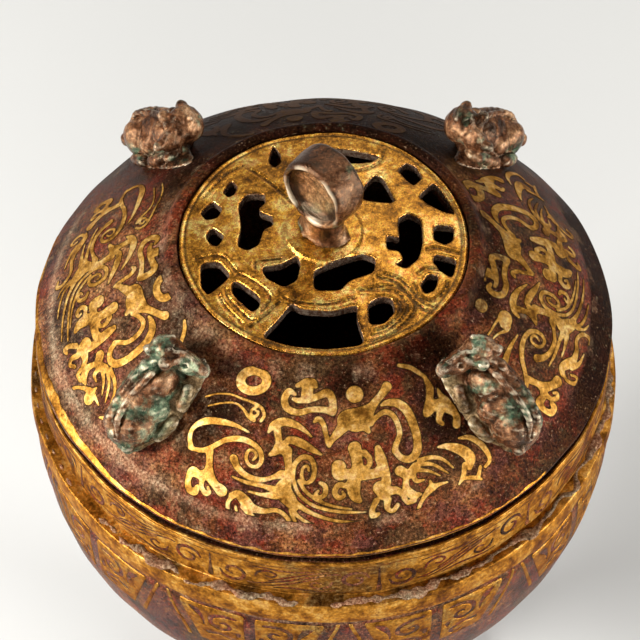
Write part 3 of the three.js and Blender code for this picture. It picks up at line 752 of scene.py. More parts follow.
def lid_outline():
    """Outline of the lid's shell, from the disc's seat over collar, dome, brim, skirt, flange and ceiling
    back to the ledge under the disc."""
    along = np.linspace(0, DOME_ARC_LENGTH, DOME_POINTS)
    crest = np.column_stack(dome_at(along)[:2])
    ceiling = np.column_stack(dome_at(along[::-1], -LID_WALL)[:2])
    flange = MOUTH_RADIUS - FLANGE_CLEARANCE
    flange_inside = flange - FLANGE_WALL
    ceiling = ceiling[ceiling[:, 0] < flange_inside - LID_WALL / 2]
    skirt = LIP_HIGH[0] - LIP_THICKNESS - SEAT_GAP
    ledge = DISC_RADIUS - DISC_LEDGE_WIDTH
    ledge_z = DISC_Z - SEAT_GAP
    return eased([
        (DISC_SEAT_RADIUS, ledge_z, 0.2),
        (DISC_SEAT_RADIUS, COLLAR_Z, 0.7),
        (DOME_TOP_RADIUS - COLLAR_SLOPE, COLLAR_Z, 1.1),
        *with_ease(crest, 0.9, 1.2),
        (LID_RADIUS, BRIM_Z + BRIM_EDGE, 0.5),
        (LID_RADIUS, BRIM_Z, 0.25),
        (skirt, BRIM_Z, 0.2),
        (skirt, LIP_Z, 0.3),
        (flange, LIP_Z, 0.3),
        (flange, LID_LOW[2], 0.6),
        (flange_inside, LID_LOW[2], 0.6),
        (flange_inside, CREASE_Z - LID_WALL, 2.5),
        *with_ease(ceiling),
        (ledge, ledge_z - DISC_LEDGE_THICKNESS, 0.4),
        (ledge, ledge_z, 0.4),
    ])


# Where the lid gets more soil, and where painted shadow lies on it: the middle of its paler side, and
# places beside the two front beasts, with how far each painted shadow reaches round the axis and along
# the dome
PALE_SIDE_BEARING = math.radians(-150)
SHADOW_BEARINGS = (math.radians(-121.5), math.radians(-58.5))
SHADOW_RADIUS = 47
SHADOW_ROUND = 5.5
SHADOW_ALONG = 10


def make_lid():
    """The lid's shell, turned. Soil lies at the collar's foot and in the crease, and more of it towards the
    left front, where a pale line just outside the crease is dust and painted highlight. The dome is darker
    round the collar. Painted shade darkens the back, which is partly dark patina, the brim at the right and
    all under the brim, and painted shadows lie beside the front beasts."""
    points, faces = turned(lid_outline(), FINE_STEPS)
    radius = radius_of(points)
    bearing = bearing_of(points)
    height = points[:, 2]
    pale_side = np.clip(np.cos(bearing - PALE_SIDE_BEARING), 0, 1) ** 2
    patchy = np.clip(0.3 + 0.5 * ragged(bearing, 3, 40, 1), 0, 1)
    collar_foot = hump(radius, DOME_TOP_RADIUS + 0.3, 1.6) * (height > CREASE_Z)
    crease = hump(radius, CREASE_RADIUS, 1.2) * (height > BRIM_Z)
    # a pale line just outside the crease: dust, and a painted highlight on the crease
    dust_and_highlight_line = pale_side * hump(radius, CREASE_RADIUS + 0.5, 0.7) * (height > BRIM_Z - 0.1)
    by_collar = hump(radius, DOME_TOP_RADIUS + 2, 5) * np.clip(0.7 + 0.4 * ragged(bearing, 2, 14, 7), 0, 1)
    # painted shade at the back (partly dark patina), on the brim at the right and all under the brim
    at_back = np.clip(2 * np.sin(bearing) - 0.4, 0, 1.2)
    on_brim = np.clip((radius - CREASE_RADIUS) / 1.5 + 1, 0, 1)
    at_right = 1.6 * hump(bearing, 0, 0.65) * on_brim
    under_brim = 2.0 * (height < BRIM_Z - 0.1)
    soot = [by_collar, at_back, at_right, under_brim]
    # painted shadows on the dome beside the two front beasts
    for beside in SHADOW_BEARINGS:
        away = (bearing - beside) * radius
        soot.append(1.2 * hump(away, 0, SHADOW_ROUND) * hump(radius, SHADOW_RADIUS, SHADOW_ALONG))
    lid = put_piece("lid_shell", uneven(points), faces, "lid", BRONZE, ["lid_dome"])
    carry(
        lid,
        soil=0.33 + 0.23 * pale_side + 0.3 * patchy * (collar_foot + crease) + 0.5 * dust_and_highlight_line,
        soot=np.maximum.reduce(soot),
    )


LIP_LIFT = 1.2
LIP_LIFT_BEARING = math.radians(-125)


def make_lid_lip():
    """The gold lip under the brim: a ring with eased edges whose lower edge is bent up, most at the front
    left."""
    inside = LIP_HIGH[0] - LIP_THICKNESS
    points, faces = turned(eased([
        (inside, LIP_Z, 0.2),
        (LIP_HIGH[0], LIP_Z, 0.5),
        (LIP_HIGH[0], LIP_HIGH[2], 0.3),
        (inside, LIP_HIGH[2], 0.2),
    ], RING_SPACING))
    bearing = bearing_of(points)
    lift = LIP_LIFT * (0.7 + 0.3 * np.cos(bearing - LIP_LIFT_BEARING))
    points[:, 2] += lift * (LIP_HIGH[2] - points[:, 2]) / (LIP_HIGH[2] - LIP_Z)
    lip = put_piece("lid_lip", uneven(points), faces, "lid", BAND_GOLD, ["lid_edge_band"])
    carry(lip, wear=np.clip(0.3 + 0.4 * ragged(bearing, 3, 30, 2), 0, 0.8))


BRIM_GOLD_ENDS = (math.radians(160), math.radians(318))
BRIM_GOLD_WIDTH = 2.3
BRIM_GOLD_THIN = 0.45
BRIM_GOLD_THINNEST = 0.2
BRIM_GOLD_BEARING = math.radians(203)
BRIM_GOLD_REACH = math.radians(20)
BRIM_GOLD_POINTS = 9


def make_brim_gold():
    """Gold of the lip that shows on the brim where hands have rubbed the patina off: a strip laid on the
    brim's cone from near its edge up, broad at the left and thin towards the front."""
    bearing = np.linspace(*BRIM_GOLD_ENDS, FINE_STEPS)
    width = BRIM_GOLD_THIN + BRIM_GOLD_WIDTH * hump(bearing, BRIM_GOLD_BEARING, BRIM_GOLD_REACH)
    width = np.maximum(width + 0.12 * ragged(bearing, 20, 120, 3), BRIM_GOLD_THINNEST)
    up_brim = np.outer(width, np.linspace(0.1, 1, BRIM_GOLD_POINTS))
    slant = np.array([-BRIM_WIDTH, BRIM_RISE - BRIM_EDGE])
    slant = slant / np.linalg.norm(slant)
    radius = LID_RADIUS + up_brim * slant[0] + SHEET_PROUD * slant[1]
    height = BRIM_Z + BRIM_EDGE + up_brim * slant[1] - SHEET_PROUD * slant[0]
    points = round_axis(radius, bearing[:, None], height).reshape(-1, 3)
    put_sheet("brim_gold", uneven(points), grid_faces(*radius.shape), "lid", BAND_GOLD)


# Gold let into the lid

INLAY_STEP = 0.22
INLAY_WIDTH = 0.93
INLAY_CONTRAST = 1.25
INLAY_STRETCH = 1.05
INLAY_JOINT = 0.24
# A panel's drawing is a quarter of the dome, unrolled as a cone: x to the right, y up the slope. The cone's
# tip lies at y = PANEL_TIP, and PANEL_FAN is the share of a full turn that the cone unrolls to.
PANEL_TIP = 62
PANEL_FAN = 0.788
PANEL_HALF = math.radians(44.5)
PANEL_MARGIN = 0.8
PANEL_RANGES = ((-36, 42), (-19, 23))


def dot(x, y, radius):
    """A round spot as a stroke that is hardly longer than a point."""
    return [(x - 0.02, y, radius), (x + 0.02, y, radius)]


def ring(x, y, wide, high, half_width, count=25):
    """A stroke that runs round an ellipse."""
    angle = np.linspace(0, 2 * np.pi, count)
    return np.column_stack([x + wide * np.cos(angle), y + high * np.sin(angle), np.full(count, half_width)])


# Strokes of the cloud and bird scrolls, points in x, y and half-width
SCROLLS = [
    # S-shaped bar with a cap, top middle
    [(-5.9, 12.4, 0.4), (-7.2, 12.9, 0.7), (-8.1, 11.2, 0.75), (-7.4, 9.4, 0.75), (-5, 8.7, 0.7),
     (-2.5, 9.3, 0.65), (0.3, 9.2, 0.7), (1.9, 8.7, 0.8)],
    [(2.1, 9.4, 0.8), (1.8, 11.5, 0.8), (0.8, 12.6, 0.9), (-0.6, 12.2, 0.8), (-2.5, 11.5, 0.7),
     (-5, 11.1, 0.6), (-6.2, 11.4, 0.4)],
    [(-3.4, 11.8, 1.2), (-3.3, 13.6, 1.1)],
    [(-5.4, 14.1, 0.5), (-3.6, 14.8, 0.8), (-2.1, 14.8, 0.7), (-1.6, 14, 0.5)],
    # hooked body
    [(13.4, 13.8, 1), (12.5, 12.5, 0.8), (11, 10.8, 0.8), (9.7, 9.2, 1.1), (7.3, 7.2, 2.1), (4.8, 7.3, 1.6),
     (4.2, 6, 1.2), (3, 4.6, 0.9), (1.8, 3.2, 0.6), (1.2, 2, 0.4)],
    [(8.5, 6, 1), (9.4, 4.8, 0.5)],
    [(-1.8, 6.8, 0.35), (-1, 7.4, 0.6), (0, 6.3, 0.55), (0.5, 4.5, 0.5), (1, 2.5, 0.5)],
    # hook with two arms
    [(10, 6.2, 0.45), (11, 7.5, 0.5), (12.8, 8.6, 0.6), (14.5, 8, 0.6), (15.7, 6, 0.6), (16, 4, 0.55),
     (15.2, 2, 0.6), (15, 0.8, 0.6)],
    [(12.2, 10, 0.3), (13.5, 10.5, 0.7), (15.5, 10.4, 0.9), (17.5, 9, 0.95), (18.8, 6.5, 0.9),
     (19.7, 3.5, 0.85), (19.7, 0.6, 0.9), (18.2, -0.9, 0.8), (16.2, -0.4, 0.7), (15, 1, 0.65)],
    # leaping figure, top right
    [(16.2, 18, 0.4), (18.5, 17.6, 0.5), (20.3, 16.6, 0.5), (21.8, 15.6, 0.4)],
    [(21.8, 15.6, 0.4), (22.8, 13.4, 0.8), (22.7, 11.4, 0.8), (22.4, 9.2, 1.1), (21.8, 8.2, 0.7)],
    [(24.6, 13.2, 0.2), (25.2, 11.8, 0.6), (26.3, 10.8, 0.8), (27.4, 9.2, 0.9), (28.6, 7.6, 0.8),
     (28.6, 6, 0.9)],
    [(22.8, 9.8, 1.1), (25.2, 9.9, 1.2), (27.4, 9, 1)],
    [(24.9, 8.6, 0.8), (24.5, 6.9, 0.6), (25.3, 6.2, 0.5)],
    # fine lines that end in a spiral, top left
    [(-25.2, 11.6, 0.15), (-22.5, 12.3, 0.2), (-19.5, 12.2, 0.2), (-17, 11.3, 0.25), (-14.8, 10.5, 0.3),
     (-13, 9.5, 0.35), (-12.3, 8, 0.35), (-13, 6.9, 0.35)],
    [(-24.5, 9.8, 0.15), (-21, 10.5, 0.2), (-18.5, 10.4, 0.2), (-16.8, 9.2, 0.3), (-15.6, 7.6, 0.4),
     (-14.5, 7, 0.45)],
    [(-14, 9.6, 0.3), (-15, 9, 0.3), (-15, 8, 0.3), (-14, 7.8, 0.3), (-13.6, 8.6, 0.25), (-14.2, 8.9, 0.2)],
    # crescent and scroll on the left, with a clawed stem
    [(-28.4, 1.5, 0.6), (-28.6, 3.5, 0.5), (-27.6, 5.4, 0.5), (-25, 6.6, 0.8), (-22, 6.6, 0.75),
     (-18.5, 5.9, 0.5), (-15.5, 4.6, 0.2)],
    [(-28.6, 1.2, 0.5), (-27.5, 0.8, 0.5), (-25.5, 0.6, 0.55), (-23, 1.6, 0.55), (-20.5, 2.8, 0.6),
     (-17.5, 3.2, 0.65), (-15, 2.6, 0.6), (-13.2, 1.2, 0.55), (-12.8, -0.8, 0.5), (-13.8, -2.2, 0.45),
     (-15.3, -2, 0.4), (-16.1, -0.6, 0.4), (-15.6, 0.9, 0.35), (-14.5, 1, 0.3), (-13.9, 0, 0.3),
     (-14.6, -0.9, 0.25)],
    [(-24.2, 0.3, 0.85), (-24.2, -2, 0.75), (-24.3, -4, 1.1), (-23, -6, 0.9), (-21.6, -7.3, 1.2)],
    [(-24.5, -4, 1), (-26.5, -4.2, 0.9), (-28, -3.6, 1), (-29, -5, 0.7), (-29, -7, 0.8), (-27.6, -7.6, 0.8),
     (-27, -6.6, 0.5)],
    [(-25.8, -4.8, 0.7), (-26, -6.5, 0.5), (-25.2, -7.8, 0.6), (-24.2, -7.6, 0.4), (-24.6, -6.6, 0.3)],
    # sweeps from the left into the trunk
    [(-18.8, -0.8, 0.9), (-18, -2.5, 0.75), (-16, -4.2, 0.65), (-13, -4.9, 0.55), (-10.5, -4.3, 0.5),
     (-8.6, -3.6, 0.9)],
    [(-19.2, -4.4, 0.2), (-16, -5.6, 0.4), (-12.5, -6.2, 0.5), (-10, -6.8, 0.8)],
    [(-15.8, -7.4, 0.2), (-13, -7.9, 0.4), (-10, -8, 0.8)],
    # trunk with two crescents
    [(-7.5, 1, 1), (-7.2, -2, 0.7), (-7.4, -4.5, 0.8), (-8.3, -6.8, 1.6), (-7, -8.8, 1.4),
     (-5.8, -10.2, 0.8)],
    [(-11.3, 4.8, 0.3), (-10.2, 6.2, 0.8), (-8, 6.8, 0.9), (-5.5, 6.1, 0.7), (-3.8, 5, 0.45),
     (-2.4, 3.8, 0.2)],
    [(-9.5, 5.2, 0.8), (-9.2, 3, 0.7), (-9.5, 1.3, 0.9), (-11, 0.3, 0.4)],
    [(-8, 2.5, 0.6), (-6.8, 3.2, 0.8), (-4.8, 2.6, 0.9), (-2.5, 1.4, 0.7), (-0.4, 0.3, 0.25)],
    [(-9.3, 1.5, 0.9), (-7.5, 1, 1)],
    # spiral right of the trunk, and the feathers under it
    [(-6.2, -3.5, 0.4), (-5.8, -1.5, 0.5), (-4.2, -0.2, 0.55), (-2.4, -0.7, 0.55), (-1.8, -2.8, 0.5),
     (-2.3, -4.6, 0.5), (-3.6, -5.2, 0.4), (-4.4, -4, 0.35), (-4.2, -2.4, 0.3), (-3.3, -1.9, 0.3),
     (-2.9, -2.9, 0.25)],
    [(-6.3, -2.8, 0.35), (-6, -5.2, 0.4), (-4.8, -7.8, 0.4), (-2.2, -9.8, 0.4), (1.5, -10.9, 0.35),
     (5.5, -11.4, 0.3), (9, -11.5, 0.15)],
    [(-5, -4.8, 0.4), (-3.6, -7, 0.4), (-1.2, -8.8, 0.4), (2, -10, 0.3), (6, -10.7, 0.15)],
    [(-5.5, -9.6, 0.7), (-3, -11.2, 0.5), (0.5, -12.5, 0.4), (4, -13.2, 0.3), (8, -13.5, 0.15)],
    [(-6.6, -10.6, 0.5), (-4.8, -12.6, 0.4), (-2, -14, 0.35), (1.5, -14.8, 0.15)],
    [(-7, -11, 0.3), (-5.8, -13.4, 0.35), (-4, -14.8, 0.15)],
    [(-0.6, -5.3, 0.4), (0.4, -6, 0.55), (0.4, -7.6, 0.55), (-0.7, -8.2, 0.45), (-1.6, -7.6, 0.35),
     (-1, -6.9, 0.3)],
    # leaf, bottom left
    [(-18.8, -8.2, 0.5), (-20.2, -9.5, 0.45), (-20.2, -11.5, 0.5), (-19.2, -12.6, 0.5), (-18.4, -12, 0.35),
     (-18.6, -10.5, 0.3)],
    [(-19.5, -8.2, 0.6), (-18, -8, 0.9), (-16.5, -9.3, 1.1), (-15, -10.6, 0.9), (-12.5, -11.2, 0.6),
     (-9.8, -11, 0.5), (-7.9, -12.2, 0.5), (-7.1, -13.8, 0.5), (-7.6, -15.2, 0.6), (-9, -15, 0.4)],
    [(-17, -10.5, 0.6), (-15.2, -12.2, 0.5), (-12, -13.4, 0.15)],
    # clawed body in the middle
    [(6.5, 1.6, 1.3), (7, -1, 1.1), (7.2, -3, 1.3)],
    [(8.5, 0.6, 0.7), (9.6, -0.6, 0.6), (9.5, -2, 0.5), (8.4, -2.4, 0.35)],
    [(3.2, -2.2, 1.4), (3.2, -3.8, 1.1), (4.6, -4.3, 0.5)],
    [(5, -3.6, 1), (7.5, -3.8, 1.2), (10.5, -3.6, 1), (12, -3, 1.2)],
    [(11.4, 1.4, 0.7), (12, -0.8, 1.1), (13, -3.5, 0.9), (13.2, -5.5, 1)],
    [(6.2, -6, 1.4), (6.6, -8, 1.1), (7.6, -9.1, 0.6)],
    [(6.6, -4, 1.2), (6.3, -6, 1.3)],
    [(4.5, -6, 0.6), (3.2, -5.9, 0.6), (2.4, -7.2, 0.6), (3.2, -8.4, 0.6), (4.4, -8, 0.35), (4, -7.2, 0.3)],
    [(12, -6.6, 1.5), (12.8, -8, 1.2)],
    [(11.2, -9.2, 0.7), (10.4, -11, 0.6), (10.6, -12.4, 0.7), (11.8, -12, 0.4)],
    [(13.6, -9, 0.8), (13.6, -10.8, 0.6), (14.8, -11.4, 0.5), (15.8, -10.2, 0.5)],
    [(13.5, -7.2, 1.1), (15.5, -7.2, 0.8), (16.8, -8, 0.6)],
    # wing with feathers
    [(16.1, -3.2, 1.1), (18, -4, 1), (19.5, -2.6, 1)],
    [(20.3, -1.2, 0.5), (23, -0.6, 0.5), (25.5, -1, 0.4), (27.8, -2.6, 0.2)],
    [(20, -2, 0.5), (23, -2, 0.4), (25, -2.8, 0.35), (26.8, -3.8, 0.15)],
    [(20, -3.2, 0.5), (22.5, -3.4, 0.35), (25, -4.3, 0.15)],
    [(19, -4.2, 0.6), (19.8, -5.4, 0.5), (21.5, -5.2, 0.2)],
    [(17.5, -4.8, 0.6), (17.6, -6.8, 0.8), (19.2, -8.2, 0.9), (20.8, -8, 0.3)],
    [(17.2, -8.8, 0.6), (18, -9.7, 0.5), (19.4, -9.2, 0.6)],
    # forked tail
    [(26.7, -5.6, 0.2), (24.5, -6.2, 0.5), (23, -7, 0.8), (21.6, -8.6, 0.5), (20.6, -10.4, 0.4),
     (20.4, -12, 0.5), (21.6, -12.5, 0.5), (22.5, -11.4, 0.5)],
    [(22.8, -5.4, 0.3), (23.4, -6.8, 0.7)],
    # wing at the right end
    [(24.3, 1.5, 0.2), (26.5, 1.6, 0.7), (29.5, 0.9, 1.1), (31.6, -0.6, 1.2), (31.6, -2.6, 0.7)],
    [(29, 3.2, 0.2), (31.5, 3.4, 0.6), (34, 2.2, 0.7), (35.8, 0.2, 0.6), (36.4, -1.4, 0.5),
     (35.4, -2.6, 0.4)],
    [(30.3, -2, 0.5), (30.2, -4.4, 0.6), (29.3, -6.2, 0.2)],
    [(30, -4.9, 0.4), (32.5, -4.8, 0.5), (34.6, -5.2, 0.3)],
    [(34.2, -2.6, 0.4), (33.8, -4.6, 0.5)],
]


def rolled(flat):
    """A panel's drawing rolled up: distance along the dome's arc from the collar, and turn about the axis."""
    across = flat[..., 0]
    from_tip = PANEL_TIP - flat[..., 1]
    along = np.hypot(across, from_tip) - DOME_TOP_RADIUS / PANEL_FAN
    return along, np.arctan2(across, from_tip) / PANEL_FAN


def make_inlay(side, bearing, shift, spots, wear, stain=0.0):
    """One panel of gold: strokes drawn flat, cut out as a sheet with a dark joint round it, rolled up on
    the dome's cone and thickened inwards. Next to the collar it turns brown as painted shade, and a stain
    above 0 darkens the whole sheet."""
    strokes = []
    for points in SCROLLS:
        right, up, half = np.array(points, float).T
        half = INLAY_WIDTH * half ** INLAY_CONTRAST
        strokes.append(np.column_stack([right + shift[0], up * INLAY_STRETCH + shift[1], half]))
    place = grid_places(INLAY_STEP, *PANEL_RANGES)
    along, turn = rolled(place)
    past_side = (np.abs(turn) - PANEL_HALF) * (DOME_TOP_RADIUS + along * PANEL_FAN)
    past_ends = np.maximum(PANEL_MARGIN - along, along - DOME_ARC_LENGTH + PANEL_MARGIN)
    field = np.maximum.reduce([strokes_field(place, strokes + spots), past_side, past_ends])
    flat, faces = sheet_net(field - INLAY_JOINT, place[0, 0], INLAY_STEP)
    along, turn = rolled(flat)
    radius, height = dome_at(along, SHEET_PROUD)[:2]
    points = round_axis(radius, bearing + turn, height)
    sheet = put_sheet(f"lid_inlay_{side}", uneven(points), faces, "lid", INLAID_GOLD)
    joint = np.clip(grid_value(field, place[0, 0], INLAY_STEP, flat) / INLAY_JOINT + 0.15, 0, 1)
    # brown next to the collar: painted shade
    carry(sheet, wear=wear + 0.45 * hump(along, 0, 9), line=np.maximum(joint, stain))


def make_inlays():
    """The four panels. Those at the sides show the same scrolls a little higher and nearer the back, with
    their own rings and spots. The back repeats the front, worn nearly bare to the patina and darkened all
    over as painted shade."""
    front_spots = [ring(-14.75, 15.75, 2.8, 2.2, 0.9), dot(6.6, 12.75, 1.7)]
    left_spots = [ring(11.7, 17.7, 2.6, 2.1, 0.85), dot(29.2, -5.9, 1.4)]
    right_spots = [dot(-16, 17.5, 1.5), dot(-17, 11.2, 1.8), ring(16.5, 18, 2.6, 2.1, 0.85)]
    make_inlay("front", math.radians(-90), (0, 0), front_spots, 0.3)
    make_inlay("left", math.radians(180), (5, 2.3), left_spots, 0.3)
    make_inlay("right", math.radians(0), (-4, 2.5), right_spots, 0.5)
    # the back panel: its stain darkens it all over as painted shade
    make_inlay("back", math.radians(90), (0, 0), front_spots, 1.1, 0.52)


# The vent disc

VENT_SOFTNESS = 0.27
VENTS = [
    # three around the front, under the knob
    [(-7, -18.6), (-4.6, -20), (2, -20.7), (7.4, -18.8), (7, -22), (9, -28.4), (0, -29.9), (-7, -28.9),
     (-13.2, -26.4), (-9.6, -22.4)],
    [(-2.2, -10.4), (1.6, -8.2), (8.4, -5.6), (11.4, -6.8), (10.8, -10.4), (5.6, -12.6), (3.6, -15.4),
     (-2, -15.4)],
    [(-13.4, -9), (-9.2, -8.6), (-6, -6.4), (-5, -8.6), (-5.8, -13), (-8.6, -14.6), (-12.4, -12)],
    # left side, front to back
    [(-19.6, -12.2), (-17.8, -12.8), (-13.6, -17), (-13.9, -19.6), (-15.4, -20.6), (-19.6, -15.6)],
    [(-26.6, -6.8), (-22.6, -6.8), (-20, -10.6), (-21.8, -12.8), (-24.8, -15.4), (-26.4, -13)],
    [(-24.2, 2.9), (-21.4, 0), (-22.8, -2.6), (-24.4, -2.2), (-25.5, 0.4)],
    [(-24.5, 10.8), (-22.2, 8.2), (-23.2, 5.4), (-25.6, 5), (-27, 7.4)],
    [(-20.4, 16.6), (-18.9, 14.6), (-19.6, 12.2), (-21, 11.4), (-22.3, 13.2)],
    [(-18.8, 8.6), (-17.2, 11.8), (-13, 11.8), (-12.8, 9), (-14.4, 7.4), (-13.4, 6), (-11.2, 5),
     (-10.9, 2.4), (-13.2, 1.2), (-14, -3), (-16.4, -4.4), (-18.6, -3), (-18, 2)],
    # back
    [(-11.4, 27.8), (-9.6, 24.4), (-9.6, 21.6), (-11, 20), (-12.4, 22)],
    [(-4.6, 26.2), (4, 26), (12.8, 23.5), (10.4, 21.2), (3, 20.8), (-4.4, 21.4)],
    # right side, back to front
    [(8, 12.4), (11, 17.4), (12.8, 16.8), (15.8, 10.2), (15, 9.2), (8.8, 9.4)],
    [(16.2, 19.4), (18.2, 22), (20.4, 21.2), (22, 17.6), (19.8, 14.8), (17.8, 17)],
    [(20.8, 11.8), (24.4, 16.6), (26.4, 13.2), (29, 7.4), (26, 7.8), (22.6, 9.8)],
    [(16.6, 5), (18.8, 6.6), (21.4, 5), (21.6, -1), (20.4, -6), (17.6, -9), (15.4, -8), (17.2, -6.4),
     (16.4, -4.4), (13.8, -4.2), (13.8, -0.2), (16.6, -0.8), (16.4, 2.6)],
    [(24.2, 3.8), (28.6, 4), (28.4, -0.2), (26.6, -1.6), (24, -0.6)],
    [(24, -4.4), (29, -5.2), (27.6, -10.4), (25.2, -9), (23.5, -6.6)],
    [(22.4, -9.8), (24.8, -10), (23.8, -14), (21.8, -15.2), (20.6, -13)],
    [(9.4, -18.2), (12, -16.4), (14.4, -16.6), (15.2, -20), (13, -23.2), (9.8, -23.6)],
]
# Lines cut into the disc, points in x, y and half-width on its face
DISC_LINES = [
    # three round the front right vent, each turning a corner
    [(7.6, -15.2, 0.2), (14.6, -13.6, 0.25), (18.4, -16.2, 0.25), (19.4, -19.6, 0.25), (15, -25.4, 0.25),
     (10, -28, 0.2)],
    [(9.6, -15, 0.15), (14.6, -14.8, 0.2), (17, -17, 0.2), (17.8, -19.6, 0.2), (14.4, -24.4, 0.2),
     (10.4, -26.4, 0.15)],
    [(15.6, -17.6, 0.15), (16.4, -19.8, 0.2), (13.6, -24, 0.2), (11, -25.2, 0.15)],
    # a bar across to the rim
    [(11.6, -11.6, 0.25), (15.6, -13, 0.3), (20.4, -18.4, 0.3), (23, -19.8, 0.25)],
    [(13, -10.8, 0.2), (16.6, -12.2, 0.25), (21, -17.2, 0.25), (24, -18.6, 0.2)],
    # round the right vents
    [(19.4, -13, 0.15), (20.6, -16, 0.2), (23, -17, 0.2), (25.6, -14.4, 0.2), (26.6, -11.6, 0.15)],
    [(20.2, -10.2, 0.15), (22, -8.6, 0.2), (25, -8.6, 0.15)],
    [(22.4, -3.4, 0.15), (24.6, -2.8, 0.2), (29.4, -3.8, 0.15)],
    # beside the front opening
    [(-9.4, -18.2, 0.2), (-12.6, -21.6, 0.25), (-16.2, -24.6, 0.2)],
    [(-8.6, -17.2, 0.15), (-5.4, -18.2, 0.2), (1, -18.9, 0.2), (6.4, -17.4, 0.15)],
    # along the left vents
    [(-21, -14.2, 0.15), (-20.4, -16.6, 0.2), (-16.4, -21.8, 0.2), (-14.4, -22.6, 0.15)],
    [(-22.4, -15.8, 0.15), (-21.2, -18.2, 0.2), (-17.4, -23.2, 0.2)],
    [(-18.6, -10.6, 0.15), (-16.6, -11.4, 0.2), (-12.4, -15.4, 0.2), (-11.6, -18, 0.2),
     (-13.4, -20.4, 0.15)],
    [(-27.6, -5.6, 0.15), (-22.2, -5.4, 0.2), (-18.8, -9.8, 0.2)],
    [(-14.6, -9.4, 0.15), (-14.2, -7.6, 0.2), (-9.4, -7.2, 0.2)],
    # from the rim to the knob
    [(-17.4, 20.6, 0.15), (-13, 16.4, 0.25), (-8.6, 11, 0.25), (-7, 8.6, 0.15)],
    [(-26.6, 12, 0.15), (-21.6, 18.6, 0.25), (-17.8, 21, 0.2)],
    # over the back vents
    [(13.6, 26, 0.15), (12, 21, 0.2), (7.4, 18.4, 0.2), (0, 18.6, 0.15)],
]
DISC_STEP = 0.28
DISC_EDGE_EASE = 0.8
DISC_LINE_DEPTH = 0.35
DISC_BURR = 0.18
DISC_BORDER_WIDTH = 1.1
DISC_BORDER_RISE = 0.3
VENT_EDGE_EASE = 0.4


def make_vent_disc():
    """The openwork disc as signed distances on a grid that follows its crown: a slab within the disc's
    radius, with a raised border, a raised round boss and cut lines with a burr beside them, less the vents.
    The crown, a parabola, is added back to the points. Lines and the foot of the border are dark, walls and
    edges of the vents are worn."""
    margin = 3 * DISC_STEP
    reach = DISC_RADIUS + margin
    place = grid_places(DISC_STEP, (-reach, reach), (-reach, reach))
    radius = radius_of(place)
    outlines = [soft_outline(corners, VENT_SOFTNESS) for corners in VENTS]
    vents = np.minimum.reduce([polygon_distance(place, outline) for outline in outlines])
    lines = np.minimum.reduce([stroke_distance(place, points) for points in DISC_LINES])
    groove = DISC_LINE_DEPTH * np.clip(0.5 - lines / 0.5, 0, 1)
    burr = DISC_BURR * hump(lines, 0.7, 0.3)
    border = DISC_BORDER_RISE * np.clip((radius - DISC_RADIUS + DISC_BORDER_WIDTH) / 0.5, 0, 1)
    boss = BOSS_RISE * np.clip((BOSS_RADIUS - radius) / 0.8 + 0.5, 0, 1)
    top = DISC_THICKNESS - groove + burr + border + boss
    level = np.arange(-margin, DISC_THICKNESS + BOSS_RISE + DISC_CROWN + margin, DISC_STEP)
    slab = np.maximum(level - top[..., None], -level)
    body = smooth_cut(slab, DISC_RADIUS - radius[..., None], DISC_EDGE_EASE)
    field = smooth_cut(body, vents[..., None], VENT_EDGE_EASE)
    points, faces = surface_net(field, np.array([-reach, -reach, -margin]), DISC_STEP)
    away = radius_of(points)
    cell = tuple(np.clip(((points[:, :2] + reach) / DISC_STEP).round().astype(int), 0, len(place) - 1).T)
    in_line = np.clip(0.6 - lines[cell] / 0.4, 0, 1)
    by_border = hump(away, DISC_RADIUS - DISC_BORDER_WIDTH - 0.3, 0.4)
    on_wall = np.clip((top[cell] - points[:, 2] - 0.25) / 0.3, 0, 1)
    by_vent = np.exp(-np.maximum(vents[cell], 0) / 0.3)
    points[:, 2] += DISC_Z + DISC_CROWN * (1 - (away / DISC_RADIUS) ** 2)
    disc = put_piece("openwork_disc", uneven(points), faces, "lid", GILT, ["vent_disc"])
    carry(disc, line=np.maximum(in_line, 0.8 * by_border), wear=np.clip(on_wall + 0.5 * by_vent, 0, 1))


# The knob

KNOB_HEIGHT = KNOB_HIGH[2] - KNOB_LOW[2]
KNOB_NECK = 5.4
KNOB_RADIUS = (KNOB_HEIGHT - KNOB_NECK) / 2
KNOB_MIDDLE = KNOB_HEIGHT - KNOB_RADIUS
KNOB_HALF = 4.3
KNOB_EASE = 1.4
KNOB_NARROWING = 1.08
KNOB_DISH_RADIUS = KNOB_RADIUS - 1.6
KNOB_DISH_DEPTH = 2.9
KNOB_DISH_WALL = 1.3
KNOB_DISH_EASE = 0.5
KNOB_NECK_HALVES = (3.7, 5.6)
KNOB_NECK_TOP = 8
KNOB_NECK_EASE = 2.2
KNOB_STEP = 0.3


